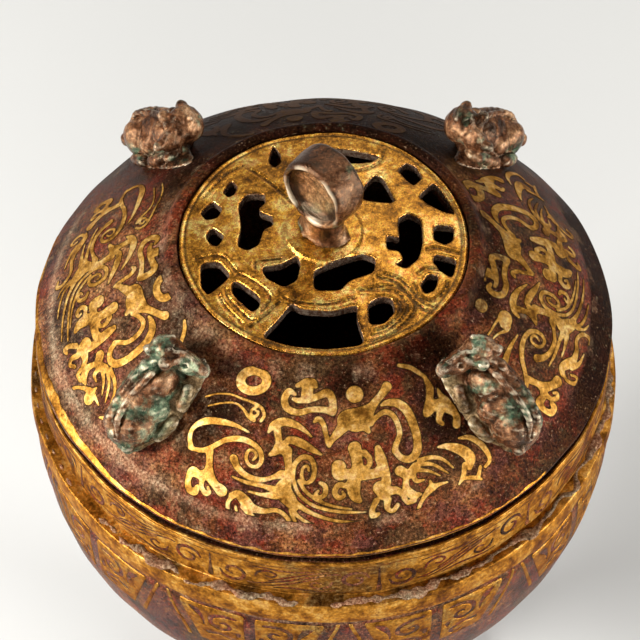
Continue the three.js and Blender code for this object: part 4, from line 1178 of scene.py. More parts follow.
def knob_form():
    """Points and faces of the knob on bearing 0: an upright disc with eased edges, with a steep-sided dish
    in both faces, blended into an oval neck that spreads at the boss, and short waves added to all of
    it."""
    reach = KNOB_RADIUS + 2
    place = grid_places(KNOB_STEP, (-reach, reach), (-reach, reach), (-1, KNOB_HEIGHT + 1.5))
    x, y, z = np.moveaxis(place, -1, 0)
    out = np.hypot(y * KNOB_NARROWING, z - KNOB_MIDDLE)
    past_round = out - (KNOB_RADIUS - KNOB_EASE)
    past_face = np.abs(x) - (KNOB_HALF - KNOB_EASE)
    body = np.hypot(np.maximum(past_round, 0), np.maximum(past_face, 0)) - KNOB_EASE
    body = body + np.minimum(np.maximum(past_round, past_face), 0)
    deeper = 1 - np.clip(out / KNOB_DISH_RADIUS, 0, 1) ** 2
    depth = KNOB_DISH_WALL + (KNOB_DISH_DEPTH - KNOB_DISH_WALL) * deeper
    dish = np.maximum(out - KNOB_DISH_RADIUS, KNOB_HALF - depth - np.abs(x))
    body = smooth_cut(body, dish, KNOB_DISH_EASE)
    spread = 1 - 0.16 * np.clip(z / 6, 0, 1) + 0.2 * np.exp(-np.maximum(z, 0) / 0.9)
    oval = np.hypot(x / KNOB_NECK_HALVES[0], y / KNOB_NECK_HALVES[1])
    neck = np.maximum((oval - spread) * 3.9, np.maximum(z - KNOB_NECK_TOP, -z))
    field = np.maximum(smooth_union(body, neck, KNOB_NECK_EASE), -z)
    waves = 0.1 * np.sin(x * 0.8 + y * 0.6) * np.sin(y * 0.7 - z * 0.8) + 0.05 * np.sin(z * 1.3 + x * 1.1)
    field = field + waves
    return surface_net(field, place[0, 0, 0], KNOB_STEP)


def make_knob():
    """The knob, turned to its bearing. The rims of its dishes are rubbed, the dishes hold soil, with a
    painted shadow in the corner at the wall, the drum is a darker tone, and the neck is green at its foot."""
    points, faces = knob_form()
    out = np.hypot(points[:, 1] * KNOB_NARROWING, points[:, 2] - KNOB_MIDDLE)
    half = np.abs(points[:, 0])
    on_rim = hump(out, KNOB_DISH_RADIUS + 0.3, 0.8) * (half > KNOB_HALF - 0.9)
    in_dish = np.clip((KNOB_DISH_RADIUS - out) / 0.6, 0, 1) * (half < KNOB_HALF - 0.3)
    # painted shadow in the dish's corner at its wall
    dish_corner = hump(out, KNOB_DISH_RADIUS - 0.8, 1.1) * in_dish
    round_rim = np.arctan2(points[:, 2] - KNOB_MIDDLE, points[:, 1])
    rubbed = on_rim * np.clip(0.5 + 0.4 * ragged(round_rim, 2, 9, 5), 0.15, 1)
    placed = swung(points, KNOB_BEARING) + (0, 0, KNOB_LOW[2])
    knob = put_piece("finger_knob", placed, faces, "lid", RELIEF, ["knob"])
    carry(
        knob,
        wear=rubbed,
        hollow=np.maximum(0.2 * (1 - in_dish) * (1 - on_rim), 0.7 * dish_corner),
        soil=0.65 * in_dish * (1 - dish_corner),
        salts=0.12 * np.exp(-points[:, 2] / 1.5) - 0.06,
    )


# The lying beasts

BEAST_STATION = 0.4925 * DOME_ARC_LENGTH
BEAST_STEP = 0.3
BEAST_SINK = 0.15
BEAST_SCALE = np.array([1.03, 1.1, 1.05])
BEAST_RANGES = ((-14.4, 14.4), (-7.2, 10.4), (-2.4, 12.9))
BEAST_GROOVE_EASE = 0.4
BEAST_LINE_STEPS = 4
# Bearing, the side that the head is turned to, how green the beast is and how much earth lies against it,
# which also makes its painted highlights stronger
BEAST_CORNERS = {
    "front_left": (-135, -1, 0.05, 1.0),
    "front_right": (-45, 1, 0.0, 1.0),
    "back_left": (135, -1, -0.06, 0.2),
    "back_right": (45, 1, -0.06, 0.2),
}
# Forms of a beast in millimetres: middle x, y, z, half-sizes x, y, z and the ease of the join. x runs from
# the rump to the head, y to the side that the head is turned to, z out of the dome.
BEAST_FORMS = [
    ((-4, 0, 0.6), (10.2, 4.9, 3), 0.4),           # belly on the lid
    ((1.5, 2.8, -1.2), (10, 3.8, 2.4), 2.0),       # earth left along the inner side
    ((-3.4, -0.8, 4.1), (9, 4, 4.8), 1.5),         # trunk
    ((-7.6, 1.9, 4.2), (4.2, 3, 4.4), 0.7),        # near haunch
    ((-2.6, 3, 3.4), (2.6, 1.9, 2.8), 0.6),        # near knee
    ((-7.8, -2.5, 4.6), (4.2, 2.4, 4.6), 0.8),     # far haunch
    ((-11, -0.2, 3.7), (2.5, 3.1, 3.7), 1.0),      # rump
    ((2, 1.3, 4.2), (4.6, 2.2, 3.8), 0.9),         # near shoulder
    ((3.6, -2.2, 4.3), (3.2, 2, 4.2), 1.0),        # far shoulder
    ((9.2, -1, 6.1), (3.3, 3.9, 4.3), 0.8),        # head
    ((10, 3.4, 5.5), (2.4, 3.3, 2.7), 0.8),        # muzzle
    ((10.8, 6.9, 6.3), (1.2, 1.7, 1.2), 0.9),      # tip of the nose
    ((9.9, 4.9, 2.5), (1.9, 2.3, 1.2), 0.4),       # lower jaw
    ((7.4, 1.5, 9.7), (1.3, 1.3, 1.5), 0.6),       # near ear
    ((7.7, -2.9, 9.5), (1.3, 1.3, 1.5), 0.6),      # far ear
    ((4, -2.2, 8.1), (1.5, 1.4, 1.5), 1.0),        # lock of the mane
    ((-12.3, 2.4, 4.4), (1.4, 1.4, 1.6), 0.6),     # end of the tail
]
# Raised lines and limbs: points x, y, z with a radius, and the ease of the join
BEAST_RIDGES = [
    ([(-12.6, -2, 2, 0.9), (-9, -4.2, 3.9, 1.2), (-3, -4.9, 4.7, 1.3), (3, -4.2, 5.2, 1.2),
      (6.6, -2.6, 6.4, 0.9)], 0.4),
    ([(-12.4, -0.6, 4.8, 0.7), (-8.4, -2.8, 7.7, 1), (-2.4, -3.3, 7.9, 1), (3.4, -2.4, 7.9, 0.9),
      (6.8, -0.8, 8.6, 0.7)], 0.35),
    ([(-11.6, 0.9, 6.2, 0.5), (-7.8, -0.4, 9.2, 0.7), (-2, -1, 9, 0.7), (4, -0.2, 8.6, 0.7)], 0.3),
    ([(4.6, 4.8, 1.6, 1.2), (2.6, 5.4, 1.3, 1.3), (0.6, 5.6, 1.2, 1.2)], 0.5),
    ([(-7, 5.2, 1.5, 1.2), (-4.6, 5.7, 1.3, 1.3), (-2.8, 5.9, 1.2, 1.2)], 0.5),
    ([(-13, 0.6, 3.4, 1), (-12.6, 2.4, 3.8, 1)], 0.4),
    ([(8, 2.2, 9.2, 0.6), (10, 3.2, 8.2, 0.7), (11.8, 2.9, 7.2, 0.6)], 0.4),
    ([(8.6, -2.4, 10, 0.6), (10.8, -2.4, 9.2, 0.7), (12.4, -1.2, 7.6, 0.6)], 0.4),
    ([(10.2, 0.6, 9.4, 0.6), (11.4, 3, 8, 0.6), (11.4, 6, 7, 0.6)], 0.4),
]
# Lines cut in, in the same way
BEAST_GROOVES = [
    [(-11.4, -1.6, 5, 0.3), (-6, -3.9, 6.6, 0.4), (2, -3.7, 7, 0.4), (6, -2, 7.6, 0.3)],
    [(-11.4, 0.2, 7, 0.3), (-6, -1.6, 9.2, 0.4), (2, -1.5, 8.9, 0.4), (6, 0, 8.9, 0.3)],
    [(-4.4, 1, 8.6, 0.3), (-4, 3, 6.9, 0.45), (-4.5, 4.9, 4.6, 0.4)],
    [(0.4, 1, 8.6, 0.3), (0.7, 3, 6.7, 0.45), (0.8, 4.4, 4, 0.4)],
    [(-10.6, 4.4, 2.6, 0.3), (-10.8, 4.4, 5.4, 0.4), (-8.4, 4.8, 7.2, 0.4), (-5.6, 4.8, 6, 0.4),
     (-6, 5.5, 4, 0.35), (-7.6, 5.6, 4.2, 0.3)],
    [(8, 7, 3.7, 0.3), (10.4, 7.9, 3.8, 0.4), (12.2, 6.4, 3.8, 0.4), (12.8, 4, 3.9, 0.3)],
    [(11.2, 1.2, 8.6, 0.5), (11.9, 1, 7.9, 0.55)],
    [(9.2, 4.2, 8, 0.5), (9.7, 4.5, 7.4, 0.5)],
]


def ellipsoid(place, middle, half):
    """Nearly the signed distance to an ellipsoid: how far out a place lies in its half-sizes, less one,
    over the steepness of that measure there."""
    apart = place - np.array(middle)
    out = np.linalg.norm(apart / half, axis=-1)
    steepness = np.linalg.norm(apart / np.square(half), axis=-1)
    return out * (out - 1) / np.maximum(steepness, SAME_PLACE)


def convexity(points, faces):
    """How far each point stands out from the mean of its neighbours along the skin's normal, in
    millimetres."""
    total = np.zeros_like(points)
    count = np.zeros(len(points))
    normal = np.zeros_like(points)
    for corner in range(4):
        here = faces[:, corner]
        after = faces[:, (corner + 1) % 4]
        before = faces[:, corner - 1]
        np.add.at(total, here, points[after] + points[before])
        np.add.at(count, here, 2)
        np.add.at(normal, here, np.cross(points[after] - points[here], points[before] - points[here]))
    normal /= np.maximum(np.linalg.norm(normal, axis=1), NO_LENGTH)[:, None]
    return np.einsum("ij,ij->i", points - total / count[:, None], normal)


def beast_form(turn):
    """A beast on bearing 0: ellipsoids and tubes blended together, lines cut in, a fine unevenness added
    and the underside cut to the dome's arc. Gives its points on the lid, its faces and its points as
    drawn."""
    place = grid_places(BEAST_STEP, *BEAST_RANGES)
    drawn = place / BEAST_SCALE
    field = np.full(place.shape[:-1], FAR_OFF)
    for middle, half, ease in BEAST_FORMS:
        field = smooth_union(field, ellipsoid(drawn, middle, half), ease)
    for points, ease in BEAST_RIDGES:
        field = smooth_union(field, stroke_distance(drawn, points, BEAST_LINE_STEPS), ease)
    for points in BEAST_GROOVES:
        field = smooth_cut(field, stroke_distance(drawn, points, BEAST_LINE_STEPS), BEAST_GROOVE_EASE)
    waves = np.sin(place @ (1.7, 1.1, 0.6)) * np.sin(place @ (-0.8, 1.9, 1.3))
    field = field + 0.07 * (waves + 0.5 * np.sin(place @ (3.1, -2.2, 2.7)))
    radius, height, slope = dome_at(BEAST_STATION)
    uphill = np.array([-math.cos(slope), 0, math.sin(slope)])
    outwards = np.array([math.sin(slope), 0, math.cos(slope)])
    axes = np.array([uphill, np.cross(outwards, uphill) * turn, outwards])
    middle = np.array([radius, 0, height])
    on_lid = place @ axes + middle
    above = np.hypot(radius_of(on_lid) - DOME_CENTRE[0], on_lid[..., 2] - DOME_CENTRE[1])
    field = np.maximum(field, DOME_ARC_RADIUS - BEAST_SINK - above)
    points, faces = surface_net(field, place[0, 0, 0], BEAST_STEP)
    return points @ axes + middle, faces[:, ::turn], points


def make_beasts():
    """The four beasts, each turned to its corner of the lid, pale where their skin stands out, which is
    rubbing and painted highlight, more on the front two, dark in the hollows as painted shade, with earth
    low down on the inner side and greener a little higher."""
    for corner, (bearing, turn, green, earth_and_highlight) in BEAST_CORNERS.items():
        points, faces, drawn = beast_form(turn)
        stands_out = convexity(points, faces)
        placed = uneven(swung(points, math.radians(bearing)))
        name = f"beast_{corner}"
        beast = put_piece(f"lying_{name}", placed, faces, "lid", RELIEF, [name])
        above = drawn[:, 2]
        inner_side = np.clip((drawn[:, 1] - 2.6) / 1.5, 0, 1)
        carry(
            beast,
            # pale where the skin stands out: rubbing and painted highlight; dark in the hollows: painted
            # shade
            wear=np.clip(stands_out * (9 + 7 * earth_and_highlight), 0, 1),
            hollow=np.clip(-stands_out * 9 - 0.05, 0, 1),
            soil=earth_and_highlight * inner_side * np.clip((3.4 - above) / 1.5, 0, 1),
            salts=green + 0.06 * hump(above, 3, 2),
        )


# Bowl, bands, stem and foot

CORDON_RADIUS = GIRDLE_RADIUS - GIRDLE_THICKNESS - SEAT_GAP
BAND_BOTTOM = BAND_LOW[2] - SEAT_GAP
BAND_TOP = BAND_HIGH[2] + SEAT_GAP


def bellied(r0, z0, r1, z1, count):
    """Points of a full quarter curve, level at (r0, z0), out and up to upright at (r1, z1): sine and cosine
    of the angle, each raised to two over the fullness, share out the way across and the way up."""
    angle = np.linspace(0, np.pi / 2, count)
    across = np.abs(np.sin(angle)) ** (2 / BELLY_FULLNESS)
    down = np.abs(np.cos(angle)) ** (2 / BELLY_FULLNESS)
    down[-1] = 0
    return np.column_stack([r0 + (r1 - r0) * across, z1 - (z1 - z0) * down])


def make_bowl():
    """The bowl: belly, shoulder, cordon, sunk crust line, band recess, rim and the inside, in one turned
    outline. Soil lies along the crust line and under the girdle. The rim's top under the lid's lip is
    darkened as painted shade, with less soil."""
    floor_z = BOWL_LOW[2] + BOWL_FLOOR
    recess = BOWL_RADIUS - BAND_THICKNESS - SEAT_GAP
    groove = BOWL_RADIUS - CRUST_GROOVE_DEPTH
    points, faces = turned(eased([
        (ROD_HOLE_RADIUS, floor_z, 0.2),
        (ROD_HOLE_RADIUS, BOWL_LOW[2], 0.2),
        *with_ease(bellied(STEM_END_RADIUS, BOWL_LOW[2], BELLY_RADIUS, BELLY_Z, 60)),
        (CORDON_RADIUS, GIRDLE_LOW[2], 0.3),
        (CORDON_RADIUS, GIRDLE_HIGH[2], 0.2),
        (groove, GIRDLE_HIGH[2], 0.2),
        (groove, BAND_BOTTOM, 0.2),
        (recess, BAND_BOTTOM, 0.1),
        (recess, BAND_TOP, 0.1),
        (BOWL_RADIUS, BAND_TOP, 0.2),
        (BOWL_RADIUS, BOWL_HIGH[2], 0.35),
        (MOUTH_RADIUS, BOWL_HIGH[2], 0.5),
        (MOUTH_RADIUS, GIRDLE_LOW[2], 2.0),
        *with_ease(bellied(STEM_END_RADIUS, floor_z, BELLY_RADIUS - BOWL_WALL, BELLY_Z, 40)[::-1]),
    ]))
    radius = radius_of(points)
    height = points[:, 2]
    outside = radius > MOUTH_RADIUS + 1
    crust = hump(height, GIRDLE_HIGH[2] + 0.8, 1.6) * outside
    under_girdle = hump(height, GIRDLE_LOW[2], 1.2) * outside
    # the rim's top under the lid's lip: painted shade
    under_lip = (height > BOWL_HIGH[2] - 0.5) & (radius < BOWL_RADIUS - 0.4)
    bowl = put_piece("bowl_shell", uneven(points), faces, "stand", BRONZE, ["bowl"])
    carry(bowl, soil=0.4 + 0.5 * crust + 0.7 * under_girdle - 0.4 * under_lip, soot=2.0 * under_lip)


def put_gold_ring(name, corners, replaced=()):
    """A turned ring of gold on the bowl, and the bearings of its points."""
    points, faces = turned(eased(corners, RING_SPACING), FINE_STEPS)
    piece = put_piece(name, uneven(points), faces, "stand", BAND_GOLD, replaced)
    return piece, bearing_of(points)


GIRDLE_ROUNDING = 0.3


def make_girdle():
    """The raised gold girdle: a ring with a rounded face."""
    inside = GIRDLE_RADIUS - GIRDLE_THICKNESS
    put_gold_ring("girdle", [
        (inside, GIRDLE_LOW[2], 0.1),
        (GIRDLE_RADIUS - GIRDLE_ROUNDING, GIRDLE_LOW[2], 0.5),
        (GIRDLE_RADIUS, (GIRDLE_LOW[2] + GIRDLE_HIGH[2]) / 2, 2.0),
        (GIRDLE_RADIUS - GIRDLE_ROUNDING, GIRDLE_HIGH[2], 0.5),
        (inside, GIRDLE_HIGH[2], 0.1),
    ], ["girdle_band"])


BAND_WORN_BEARING = math.radians(-86)
BAND_WORN_REACH = math.radians(24)


def make_rim_band():
    """The gold band let into the rim: a ring with eased edges, rubbed at the front."""
    inside = BOWL_RADIUS - BAND_THICKNESS
    band, bearing = put_gold_ring("scroll_band", [
        (inside, BAND_LOW[2], 0.1),
        (BOWL_RADIUS, BAND_LOW[2], 0.2),
        (BOWL_RADIUS, BAND_HIGH[2], 0.2),
        (inside, BAND_HIGH[2], 0.1),
    ], ["rim_band"])
    carry(band, wear=hump(bearing, BAND_WORN_BEARING, BAND_WORN_REACH))


RIM_GOLD_WIDTH = 0.55
RIM_GOLD_PROUD = 0.07


def make_rim_gold():
    """Gold that runs from the band over the rim's upper edge: an angle-shaped ring laid on the edge."""
    outside = BOWL_RADIUS + RIM_GOLD_PROUD
    top = BOWL_HIGH[2] + RIM_GOLD_PROUD
    edge, bearing = put_gold_ring("rim_gold", [
        (outside - SHEET_THICKNESS, BAND_TOP, 0.05),
        (outside, BAND_TOP, 0.05),
        (outside, top, 0.4),
        (outside - RIM_GOLD_WIDTH, top, 0.05),
        (outside - RIM_GOLD_WIDTH, top - SHEET_THICKNESS, 0.05),
        (outside - SHEET_THICKNESS, top - SHEET_THICKNESS, 0.1),
    ])
    carry(edge, wear=np.clip(0.25 + 0.4 * ragged(bearing, 3, 30, 8), 0, 0.9))


def make_groove_gold():
    """Worn gold in the sunk line between band and girdle: an angle-shaped ring on the line's wall and
    floor."""
    wall = BOWL_RADIUS - CRUST_GROOVE_DEPTH + RIM_GOLD_PROUD
    floor_z = GIRDLE_HIGH[2] + RIM_GOLD_PROUD
    outside = GIRDLE_RADIUS - GIRDLE_THICKNESS / 2
    lining, bearing = put_gold_ring("groove_gold", [
        (wall - SHEET_THICKNESS, BAND_BOTTOM, 0.05),
        (wall - SHEET_THICKNESS, floor_z - SHEET_THICKNESS, 0.1),
        (outside, floor_z - SHEET_THICKNESS, 0.05),
        (outside, floor_z, 0.05),
        (wall, floor_z, 0.4),
        (wall, BAND_BOTTOM, 0.05),
    ])
    carry(lining, wear=np.clip(0.45 + 0.5 * ragged(bearing, 3, 30, 9), 0.1, 1.1))


# Dark scrolls left bare in the rim band: x along it, y up it, half-width. They are one half of a unit, and
# the other half is the same one turned about the unit's middle.
BAND_UNITS = 11
BAND_UNIT_HEIGHT = 8.6
BAND_UNIT_LIFT = 0.4
BAND_START = math.radians(-79.3)
BAND_WEDGE = [(0, 0.6, 0.65), (0, 4, 0.3), (0, 8.2, 0.2)]
BAND_SCROLLS = [
    [(2.2, 3.4, 0.2), (3.2, 1.6, 0.4), (5.4, 1, 0.5), (7.4, 2.2, 0.5), (7.6, 4.4, 0.45), (6, 5.8, 0.4),
     (4.2, 5.2, 0.4), (3.8, 3.6, 0.35), (5, 2.9, 0.25)],
    [(8.4, 1.4, 0.15), (10.4, 1.4, 0.25), (14.6, 2.8, 0.3), (18.6, 4.3, 0.3)],
    [(10.8, 0.6, 0.12), (15.4, 1.8, 0.25), (20.6, 4, 0.25), (24, 5.6, 0.15)],
    [(10.2, 4.4, 0.2), (11, 6.2, 0.35), (13.2, 7, 0.35), (14.8, 5.8, 0.3), (14, 4.6, 0.3), (12.6, 5, 0.25)],
    [(9.4, 7.8, 0.12), (13, 8, 0.25), (18.6, 7.4, 0.3), (23, 8, 0.12)],
]


def make_band_scrolls():
    """The dark scrolls of the rim band as one sheet bent round the bowl: eleven units with a wedge between
    them, and a thin line above."""
    length = 2 * np.pi * BOWL_RADIUS
    unit = length / BAND_UNITS
    drawn = [np.array(BAND_WEDGE)]
    for points in BAND_SCROLLS:
        points = np.array(points)
        drawn += [points, points * (-1, -1, 1) + (unit, BAND_UNIT_HEIGHT, 0)]
    strokes = []
    for index in range(BAND_UNITS):
        strokes += [points + (index * unit, 0, 0) for points in drawn]
    strokes.append([(0, 9.1, 0.1), (length / 2, 9.2, 0.14), (length, 9.1, 0.1)])
    place = grid_places(INLAY_STEP, (-1, length - 0.7), (-0.5, 10.4))
    flat, faces = sheet_net(strokes_field(place, strokes), place[0, 0], INLAY_STEP)
    bearing = BAND_START + flat[:, 0] / BOWL_RADIUS
    points = round_axis(BOWL_RADIUS + SHEET_PROUD, bearing, BAND_LOW[2] + BAND_UNIT_LIFT + flat[:, 1])
    scrolls = put_sheet("band_scrolls", uneven(points), faces, "stand", BRONZE)
    carry(scrolls, soil=0.2)


# Gold panels under the girdle, in millimetres along the belly's widest and down it. A unit is a panel, its
# mirror image and a dark triangle between two lines.
BELLY_UNITS = 10
BELLY_STEP = 0.4
BELLY_MIRROR = 19.9
BELLY_START = math.radians(-121)
BELLY_TIER_LIFT = 1.4
BELLY_CURL_EASE = 0.3
BELLY_PANEL = [(3.2, 0), (18.6, 0), (18.6, -15), (8, -15)]
BELLY_LINE = [(0.2, 0, 0.4), (2.6, -7.5, 0.45), (5, -15, 0.5)]
BELLY_CURLS = [
    [(16.6, -1.8, 0.5), (13.6, -1.9, 0.6), (11, -3.6, 0.6), (11, -6.4, 0.6), (13.4, -7.6, 0.55),
     (15.4, -6.2, 0.5), (14.6, -4.6, 0.4), (13.2, -5, 0.35)],
    [(5.8, -1.4, 0.3), (7.4, -2.6, 0.9), (8.8, -5.4, 0.4), (9, -8, 0.2)],
    [(10, -10.8, 0.7), (13, -10, 0.5), (16, -11.4, 0.6), (15.6, -13.4, 0.45), (13.6, -13, 0.35)],
    [(17.2, -8.2, 0.7), (17.2, -9.4, 0.3)],
]


def belly_radius(height):
    """Radius of the belly at a height: the full quarter curve below its widest, a straight shoulder above
    it."""
    down = np.clip((BELLY_Z - height) / (BELLY_Z - BOWL_LOW[2]), 0, 1)
    full = (1 - down ** BELLY_FULLNESS) ** (1 / BELLY_FULLNESS)
    shoulder = np.maximum(height - BELLY_Z, 0) / BELLY_SHOULDER * (BELLY_RADIUS - CORDON_RADIUS)
    return STEM_END_RADIUS + (BELLY_RADIUS - STEM_END_RADIUS) * full - shoulder


def with_mirror(shapes):
    """Shapes drawn on the belly, each followed by its mirror image about the middle of a unit."""
    both = []
    for points in shapes:
        points = np.array(points, float)
        image = points.copy()
        image[:, 0] = 2 * BELLY_MIRROR - image[:, 0]
        both += [points, image]
    return both


def make_belly_inlay():
    """The tier of gold panels as one sheet laid on the belly, with dark curls cut out of them."""
    unit = 2 * np.pi * BELLY_RADIUS / BELLY_UNITS
    place = grid_places(BELLY_STEP, (-1, unit - 1), (-16, 1))
    panels = [polygon_distance(place, corners) for corners in with_mirror([BELLY_PANEL])]
    curls = strokes_field(place, with_mirror(BELLY_CURLS))
    lines = strokes_field(place, with_mirror([BELLY_LINE]))
    gold = np.minimum(smooth_cut(np.minimum(*panels), curls, BELLY_CURL_EASE), lines)
    flat, faces = sheet_net(gold, place[0, 0], BELLY_STEP)
    height = BELLY_Z + BELLY_TIER_LIFT + flat[:, 1]
    radius = belly_radius(height) + SHEET_PROUD
    index = np.arange(BELLY_UNITS)[:, None]
    bearing = BELLY_START + (flat[:, 0] + index * unit) / BELLY_RADIUS
    points = round_axis(radius, bearing, height).reshape(-1, 3)
    faces = (faces + index[..., None] * len(flat)).reshape(-1, 4)
    tier = put_sheet("belly_inlay", uneven(points), faces, "stand", BAND_GOLD)
    carry(tier, wear=0.8)


CRUST_STEP = 0.3
CRUST_HALF = 0.85
CRUST_HALF_MOST = 1.8
CRUST_BULGE = 0.35
CRUST_BEADS = 92
CRUST_SIDE_REACH = 0.75
CRUST_RUN_BEARING = math.radians(-38)
CRUST_RUN_HALF = 0.5


def make_crust():
    """Grey green crust on the girdle's upper edge: a ragged ribbon with gaps, worked out flat, along the
    edge and across it, then bent over the edge and swollen in the middle. On the left it is a row of small
    beads, and on the right it runs on without gaps."""
    place = grid_places(CRUST_STEP, (0, 2 * np.pi * GIRDLE_RADIUS), (-2.4, 4.6))
    bearing = place[:, 0, 0] / GIRDLE_RADIUS - np.pi
    at_left = np.exp(-((np.abs(bearing) - np.pi) / CRUST_SIDE_REACH) ** 4)
    at_right = np.exp(-((bearing - CRUST_RUN_BEARING) / CRUST_SIDE_REACH) ** 4)
    half = CRUST_HALF * (0.85 + 0.5 * ragged(bearing, 5, 30, 4) + 0.3 * ragged(bearing, 40, 140, 5))
    beads = 0.5 * np.cos(bearing * CRUST_BEADS) - 0.1
    half = np.minimum(half, CRUST_HALF_MOST) * (1 - at_left) + beads * at_left
    half = np.maximum(half, CRUST_RUN_HALF * at_right)
    middle = 1.4 + 0.6 * at_right + 0.4 * ragged(bearing, 8, 60, 6) * (1 - at_left)
    field = np.abs(place[..., 1] - middle[:, None]) - half[:, None]
    flat, faces = sheet_net(field, place[0, 0], CRUST_STEP)
    along, across = flat.T
    row = np.clip((along / CRUST_STEP).round().astype(int), 0, len(bearing) - 1)
    inside = np.clip(half[row] - np.abs(across - middle[row]), 0, 1)
    lumps = 1 + 0.3 * np.sin(along * 5.3 + across * 4) * np.sin(along * 3.1)
    swell = CRUST_BULGE * np.sqrt(inside) * lumps
    tilt = np.clip(across + 0.5, 0, 1) * np.pi / 2
    radius = GIRDLE_RADIUS - np.maximum(across, 0) + swell * np.cos(tilt)
    height = GIRDLE_HIGH[2] + np.minimum(across, 0) + swell * np.sin(tilt)
    points = round_axis(radius, along / GIRDLE_RADIUS - np.pi, height)
    crust = put_sheet("groove_crust", uneven(points), faces, "stand", BRONZE)
    carry(crust, soil=2.0)


def make_stem():
    """The stem: two flared ends, two necks and a round bead between them, turned. Soil lies in the necks."""
    middle = (STEM_LOW[2] + STEM_HIGH[2]) / 2
    half = STEM_BEAD_HEIGHT / 2
    angle = np.linspace(0, np.pi, 24)
    bead = np.column_stack([
        STEM_NECK_RADIUS + (STEM_BEAD_RADIUS - STEM_NECK_RADIUS) * np.sin(angle),
        middle - half * np.cos(angle),
    ])
    taper = (middle - half - STEM_LOW[2]) / 2
    points, faces = turned(eased([
        (ROD_HOLE_RADIUS, STEM_LOW[2], 0.2),
        (STEM_END_RADIUS, STEM_LOW[2], 0.4),
        (STEM_END_RADIUS, STEM_LOW[2] + STEM_END_EDGE, 0.6),
        (STEM_NECK_RADIUS, STEM_LOW[2] + taper, 2.0),
        *with_ease(bead, 0.8, 0.8),
        (STEM_NECK_RADIUS, STEM_HIGH[2] - taper, 2.0),
        (STEM_END_RADIUS, STEM_HIGH[2] - STEM_END_EDGE, 0.6),
        (STEM_END_RADIUS, STEM_HIGH[2], 0.4),
        (ROD_HOLE_RADIUS, STEM_HIGH[2], 0.2),
    ]), steps=180)
    stem = put_piece("stem_column", uneven(points, 0.15), faces, "stand", BRONZE, ["stem"])
    carry(stem, soil=0.4 + 0.2 * hump(radius_of(points), STEM_NECK_RADIUS, 1.2))


def make_foot():
    """The foot: a standing edge, a ledge and a hollow trumpet, a quarter ellipse outside and another
    inside. Soil lies on the ledge. The standing edge stays level."""
    hollow_end = WASHER_HIGH[0] + 2 * SEAT_GAP
    ceiling = FOOT_HIGH[2] - FOOT_CEILING
    angle = np.linspace(0, np.pi / 2, 36)
    inwards = np.sin(angle)
    upwards = 1 - np.cos(angle)
    outer_start = FOOT_HIGH[0] - FOOT_LEDGE
    inner_start = FOOT_HIGH[0] - FOOT_WALL
    inner_edge = FOOT_EDGE - FOOT_WALL
    trumpet = np.column_stack([
        outer_start - (outer_start - STEM_END_RADIUS) * inwards,
        FOOT_EDGE + (FOOT_HIGH[2] - FOOT_EDGE) * upwards,
    ])
    hollow = np.column_stack([
        inner_start - (inner_start - hollow_end) * inwards,
        inner_edge + (ceiling - inner_edge) * upwards,
    ])[::-1]
    points, faces = turned(eased([
        (FOOT_HIGH[0], 0, 0.5),
        (FOOT_HIGH[0], FOOT_EDGE, 0.8),
        *with_ease(trumpet, 0.5),
        (ROD_HOLE_RADIUS, FOOT_HIGH[2], 0.2),
        (ROD_HOLE_RADIUS, ceiling, 0.2),
        *with_ease(hollow),
        (inner_start, 0, 0.5),
    ]), steps=300)
    standing = points[:, 2] < 0.02
    moved = uneven(points, 0.18)
    moved[:, 2] = np.where(standing, 0, np.maximum(moved[:, 2], 0))
    foot = put_piece("trumpet_foot", moved, faces, "stand", BRONZE, ["foot"])
    carry(foot, soil=0.4 + 0.25 * hump(points[:, 2], FOOT_EDGE, 1.2))


# Light, floor and camera

# The pale sweep, in millimetres
FLOOR_HALF = 2200
FLOOR_NEAR = -1600
FLOOR_FAR = 900
FLOOR_BEND = 600
WALL_TOP = 2400


def make_floor():
    """A pale sweep: a level floor that curves up behind into a wall, the curve a quarter circle."""
    run = np.linspace(FLOOR_NEAR, FLOOR_FAR, 30)
    bend = np.linspace(0, np.pi / 2, 24)[1:]
    rise = np.linspace(FLOOR_BEND, WALL_TOP, 12)[1:]
    wall = np.full(len(rise), FLOOR_FAR + FLOOR_BEND)
    depth = np.concatenate([run, FLOOR_FAR + FLOOR_BEND * np.sin(bend), wall])
    height = np.concatenate([np.zeros(len(run)), FLOOR_BEND * (1 - np.cos(bend)), rise])
    across = np.linspace(-FLOOR_HALF, FLOOR_HALF, 24)[:, None]
    points = np.stack(np.broadcast_arrays(across, depth, height), axis=-1)
    faces = grid_faces(*points.shape[:2])
    mesh = bpy.data.meshes.new("floor")
    mesh.from_pydata((points.reshape(-1, 3) * MM).tolist(), [], faces.tolist())
    mesh.polygons.foreach_set("use_smooth", np.ones(len(faces), bool))
    material = bpy.data.materials.new("pale paper")
    material.use_nodes = True
    shader = material.node_tree.nodes["Principled BSDF"]
    plug(shader, {"Base Color": colour("#d9d8d4"), "Roughness": 0.9})
    mesh.materials.append(material)
    floor = bpy.data.objects.new("floor", mesh)
    bpy.context.scene.collection.objects.link(floor)


# Soft boxes: place and width in metres, and power in watts. The left one is the strongest, and all look at
# the lid.
LAMPS = {
    "left soft box": ((-0.85, -0.32, 0.62), 0.34, 18),
    "right soft box": ((0.95, -0.35, 0.26), 0.34, 11),
    "front soft box": ((0.1, -0.9, 0.75), 0.4, 2.5),
    "back soft box": ((0.3, 0.5, 0.95), 0.5, 2.6),
}
LAMP_TARGET = (0, 0, 0.15)
ROOM_COLOUR = "#d0cecb"
ROOM_STRENGTH = 0.09


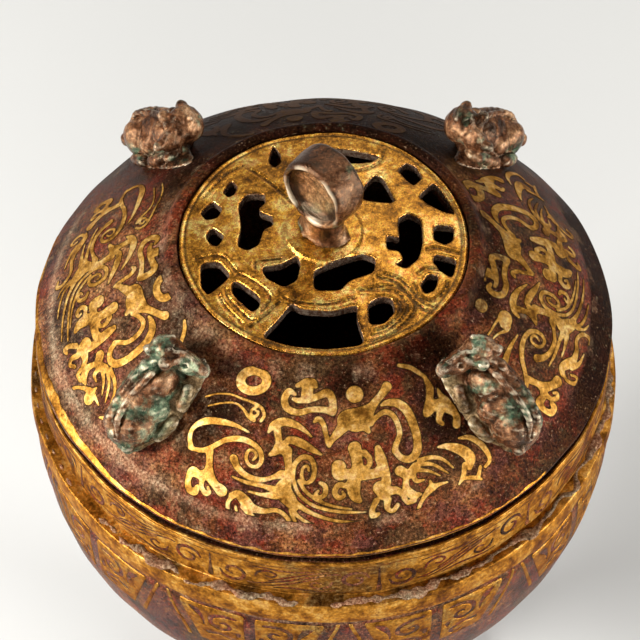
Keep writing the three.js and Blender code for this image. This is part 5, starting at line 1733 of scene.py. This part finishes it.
def light_scene():
    """The square soft boxes, each turned to its target, and a dim grey room."""
    for name, (place, width, power) in LAMPS.items():
        lamp = bpy.data.lights.new(name, "AREA")
        lamp.size = width
        lamp.energy = power
        holder = bpy.data.objects.new(name, lamp)
        holder.location = place
        x, y, z = np.array(LAMP_TARGET) - place
        pitch = math.pi / 2 + math.atan2(z, math.hypot(x, y))
        holder.rotation_euler = (pitch, 0, math.atan2(y, x) - math.pi / 2)
        bpy.context.scene.collection.objects.link(holder)
    world = bpy.data.worlds.new("room")
    world.use_nodes = True
    plug(world.node_tree.nodes["Background"], {"Color": colour(ROOM_COLOUR), "Strength": ROOM_STRENGTH})
    bpy.context.scene.world = world


# The photograph's camera: its width, its focal length and the middle of the rim plane in pixels, and where
# it stands
PHOTO_WIDTH = 640
PHOTO_FOCUS = 2882
RIM_MIDDLE_ACROSS = 323.5
RIM_MIDDLE_DOWN = 315.1
CAMERA_ELEVATION = math.radians(52.3)
CAMERA_DISTANCE = 650


def place_camera():
    """Camera on the front side, turned so that the rim's middle falls where it does in the photograph."""
    camera = bpy.data.cameras.new("photo camera")
    camera.sensor_width = 36
    camera.lens = PHOTO_FOCUS / PHOTO_WIDTH * camera.sensor_width
    camera.clip_start = 0.01
    holder = bpy.data.objects.new("photo camera", camera)
    pitch = CAMERA_ELEVATION - math.atan((RIM_MIDDLE_DOWN - PHOTO_WIDTH / 2) / PHOTO_FOCUS)
    yaw = math.atan((RIM_MIDDLE_ACROSS - PHOTO_WIDTH / 2) / PHOTO_FOCUS / math.cos(CAMERA_ELEVATION))
    holder.location = (
        0,
        -CAMERA_DISTANCE * math.cos(CAMERA_ELEVATION) * MM,
        (BRIM_Z + CAMERA_DISTANCE * math.sin(CAMERA_ELEVATION)) * MM,
    )
    holder.rotation_euler = (math.pi / 2 - pitch, 0, yaw)
    bpy.context.scene.collection.objects.link(holder)
    bpy.context.scene.camera = holder


make_floor()
light_scene()
place_camera()
make_foot()
make_stem()
make_bowl()
make_rim_band()
make_rim_gold()
make_groove_gold()
make_band_scrolls()
make_girdle()
make_belly_inlay()
make_crust()
make_lid()
make_inlays()
make_lid_lip()
make_brim_gold()
make_vent_disc()
make_knob()
make_beasts()

for name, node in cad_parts.items():
    node.data.materials.clear()
    if name.startswith("tie_rod"):
        node.data.materials.append(IRON)
    elif "pin" in name:
        node.data.materials.append(RIVET)
    else:
        node.data.materials.append(RELIEF)

bpy.context.scene.view_settings.view_transform = "Standard"
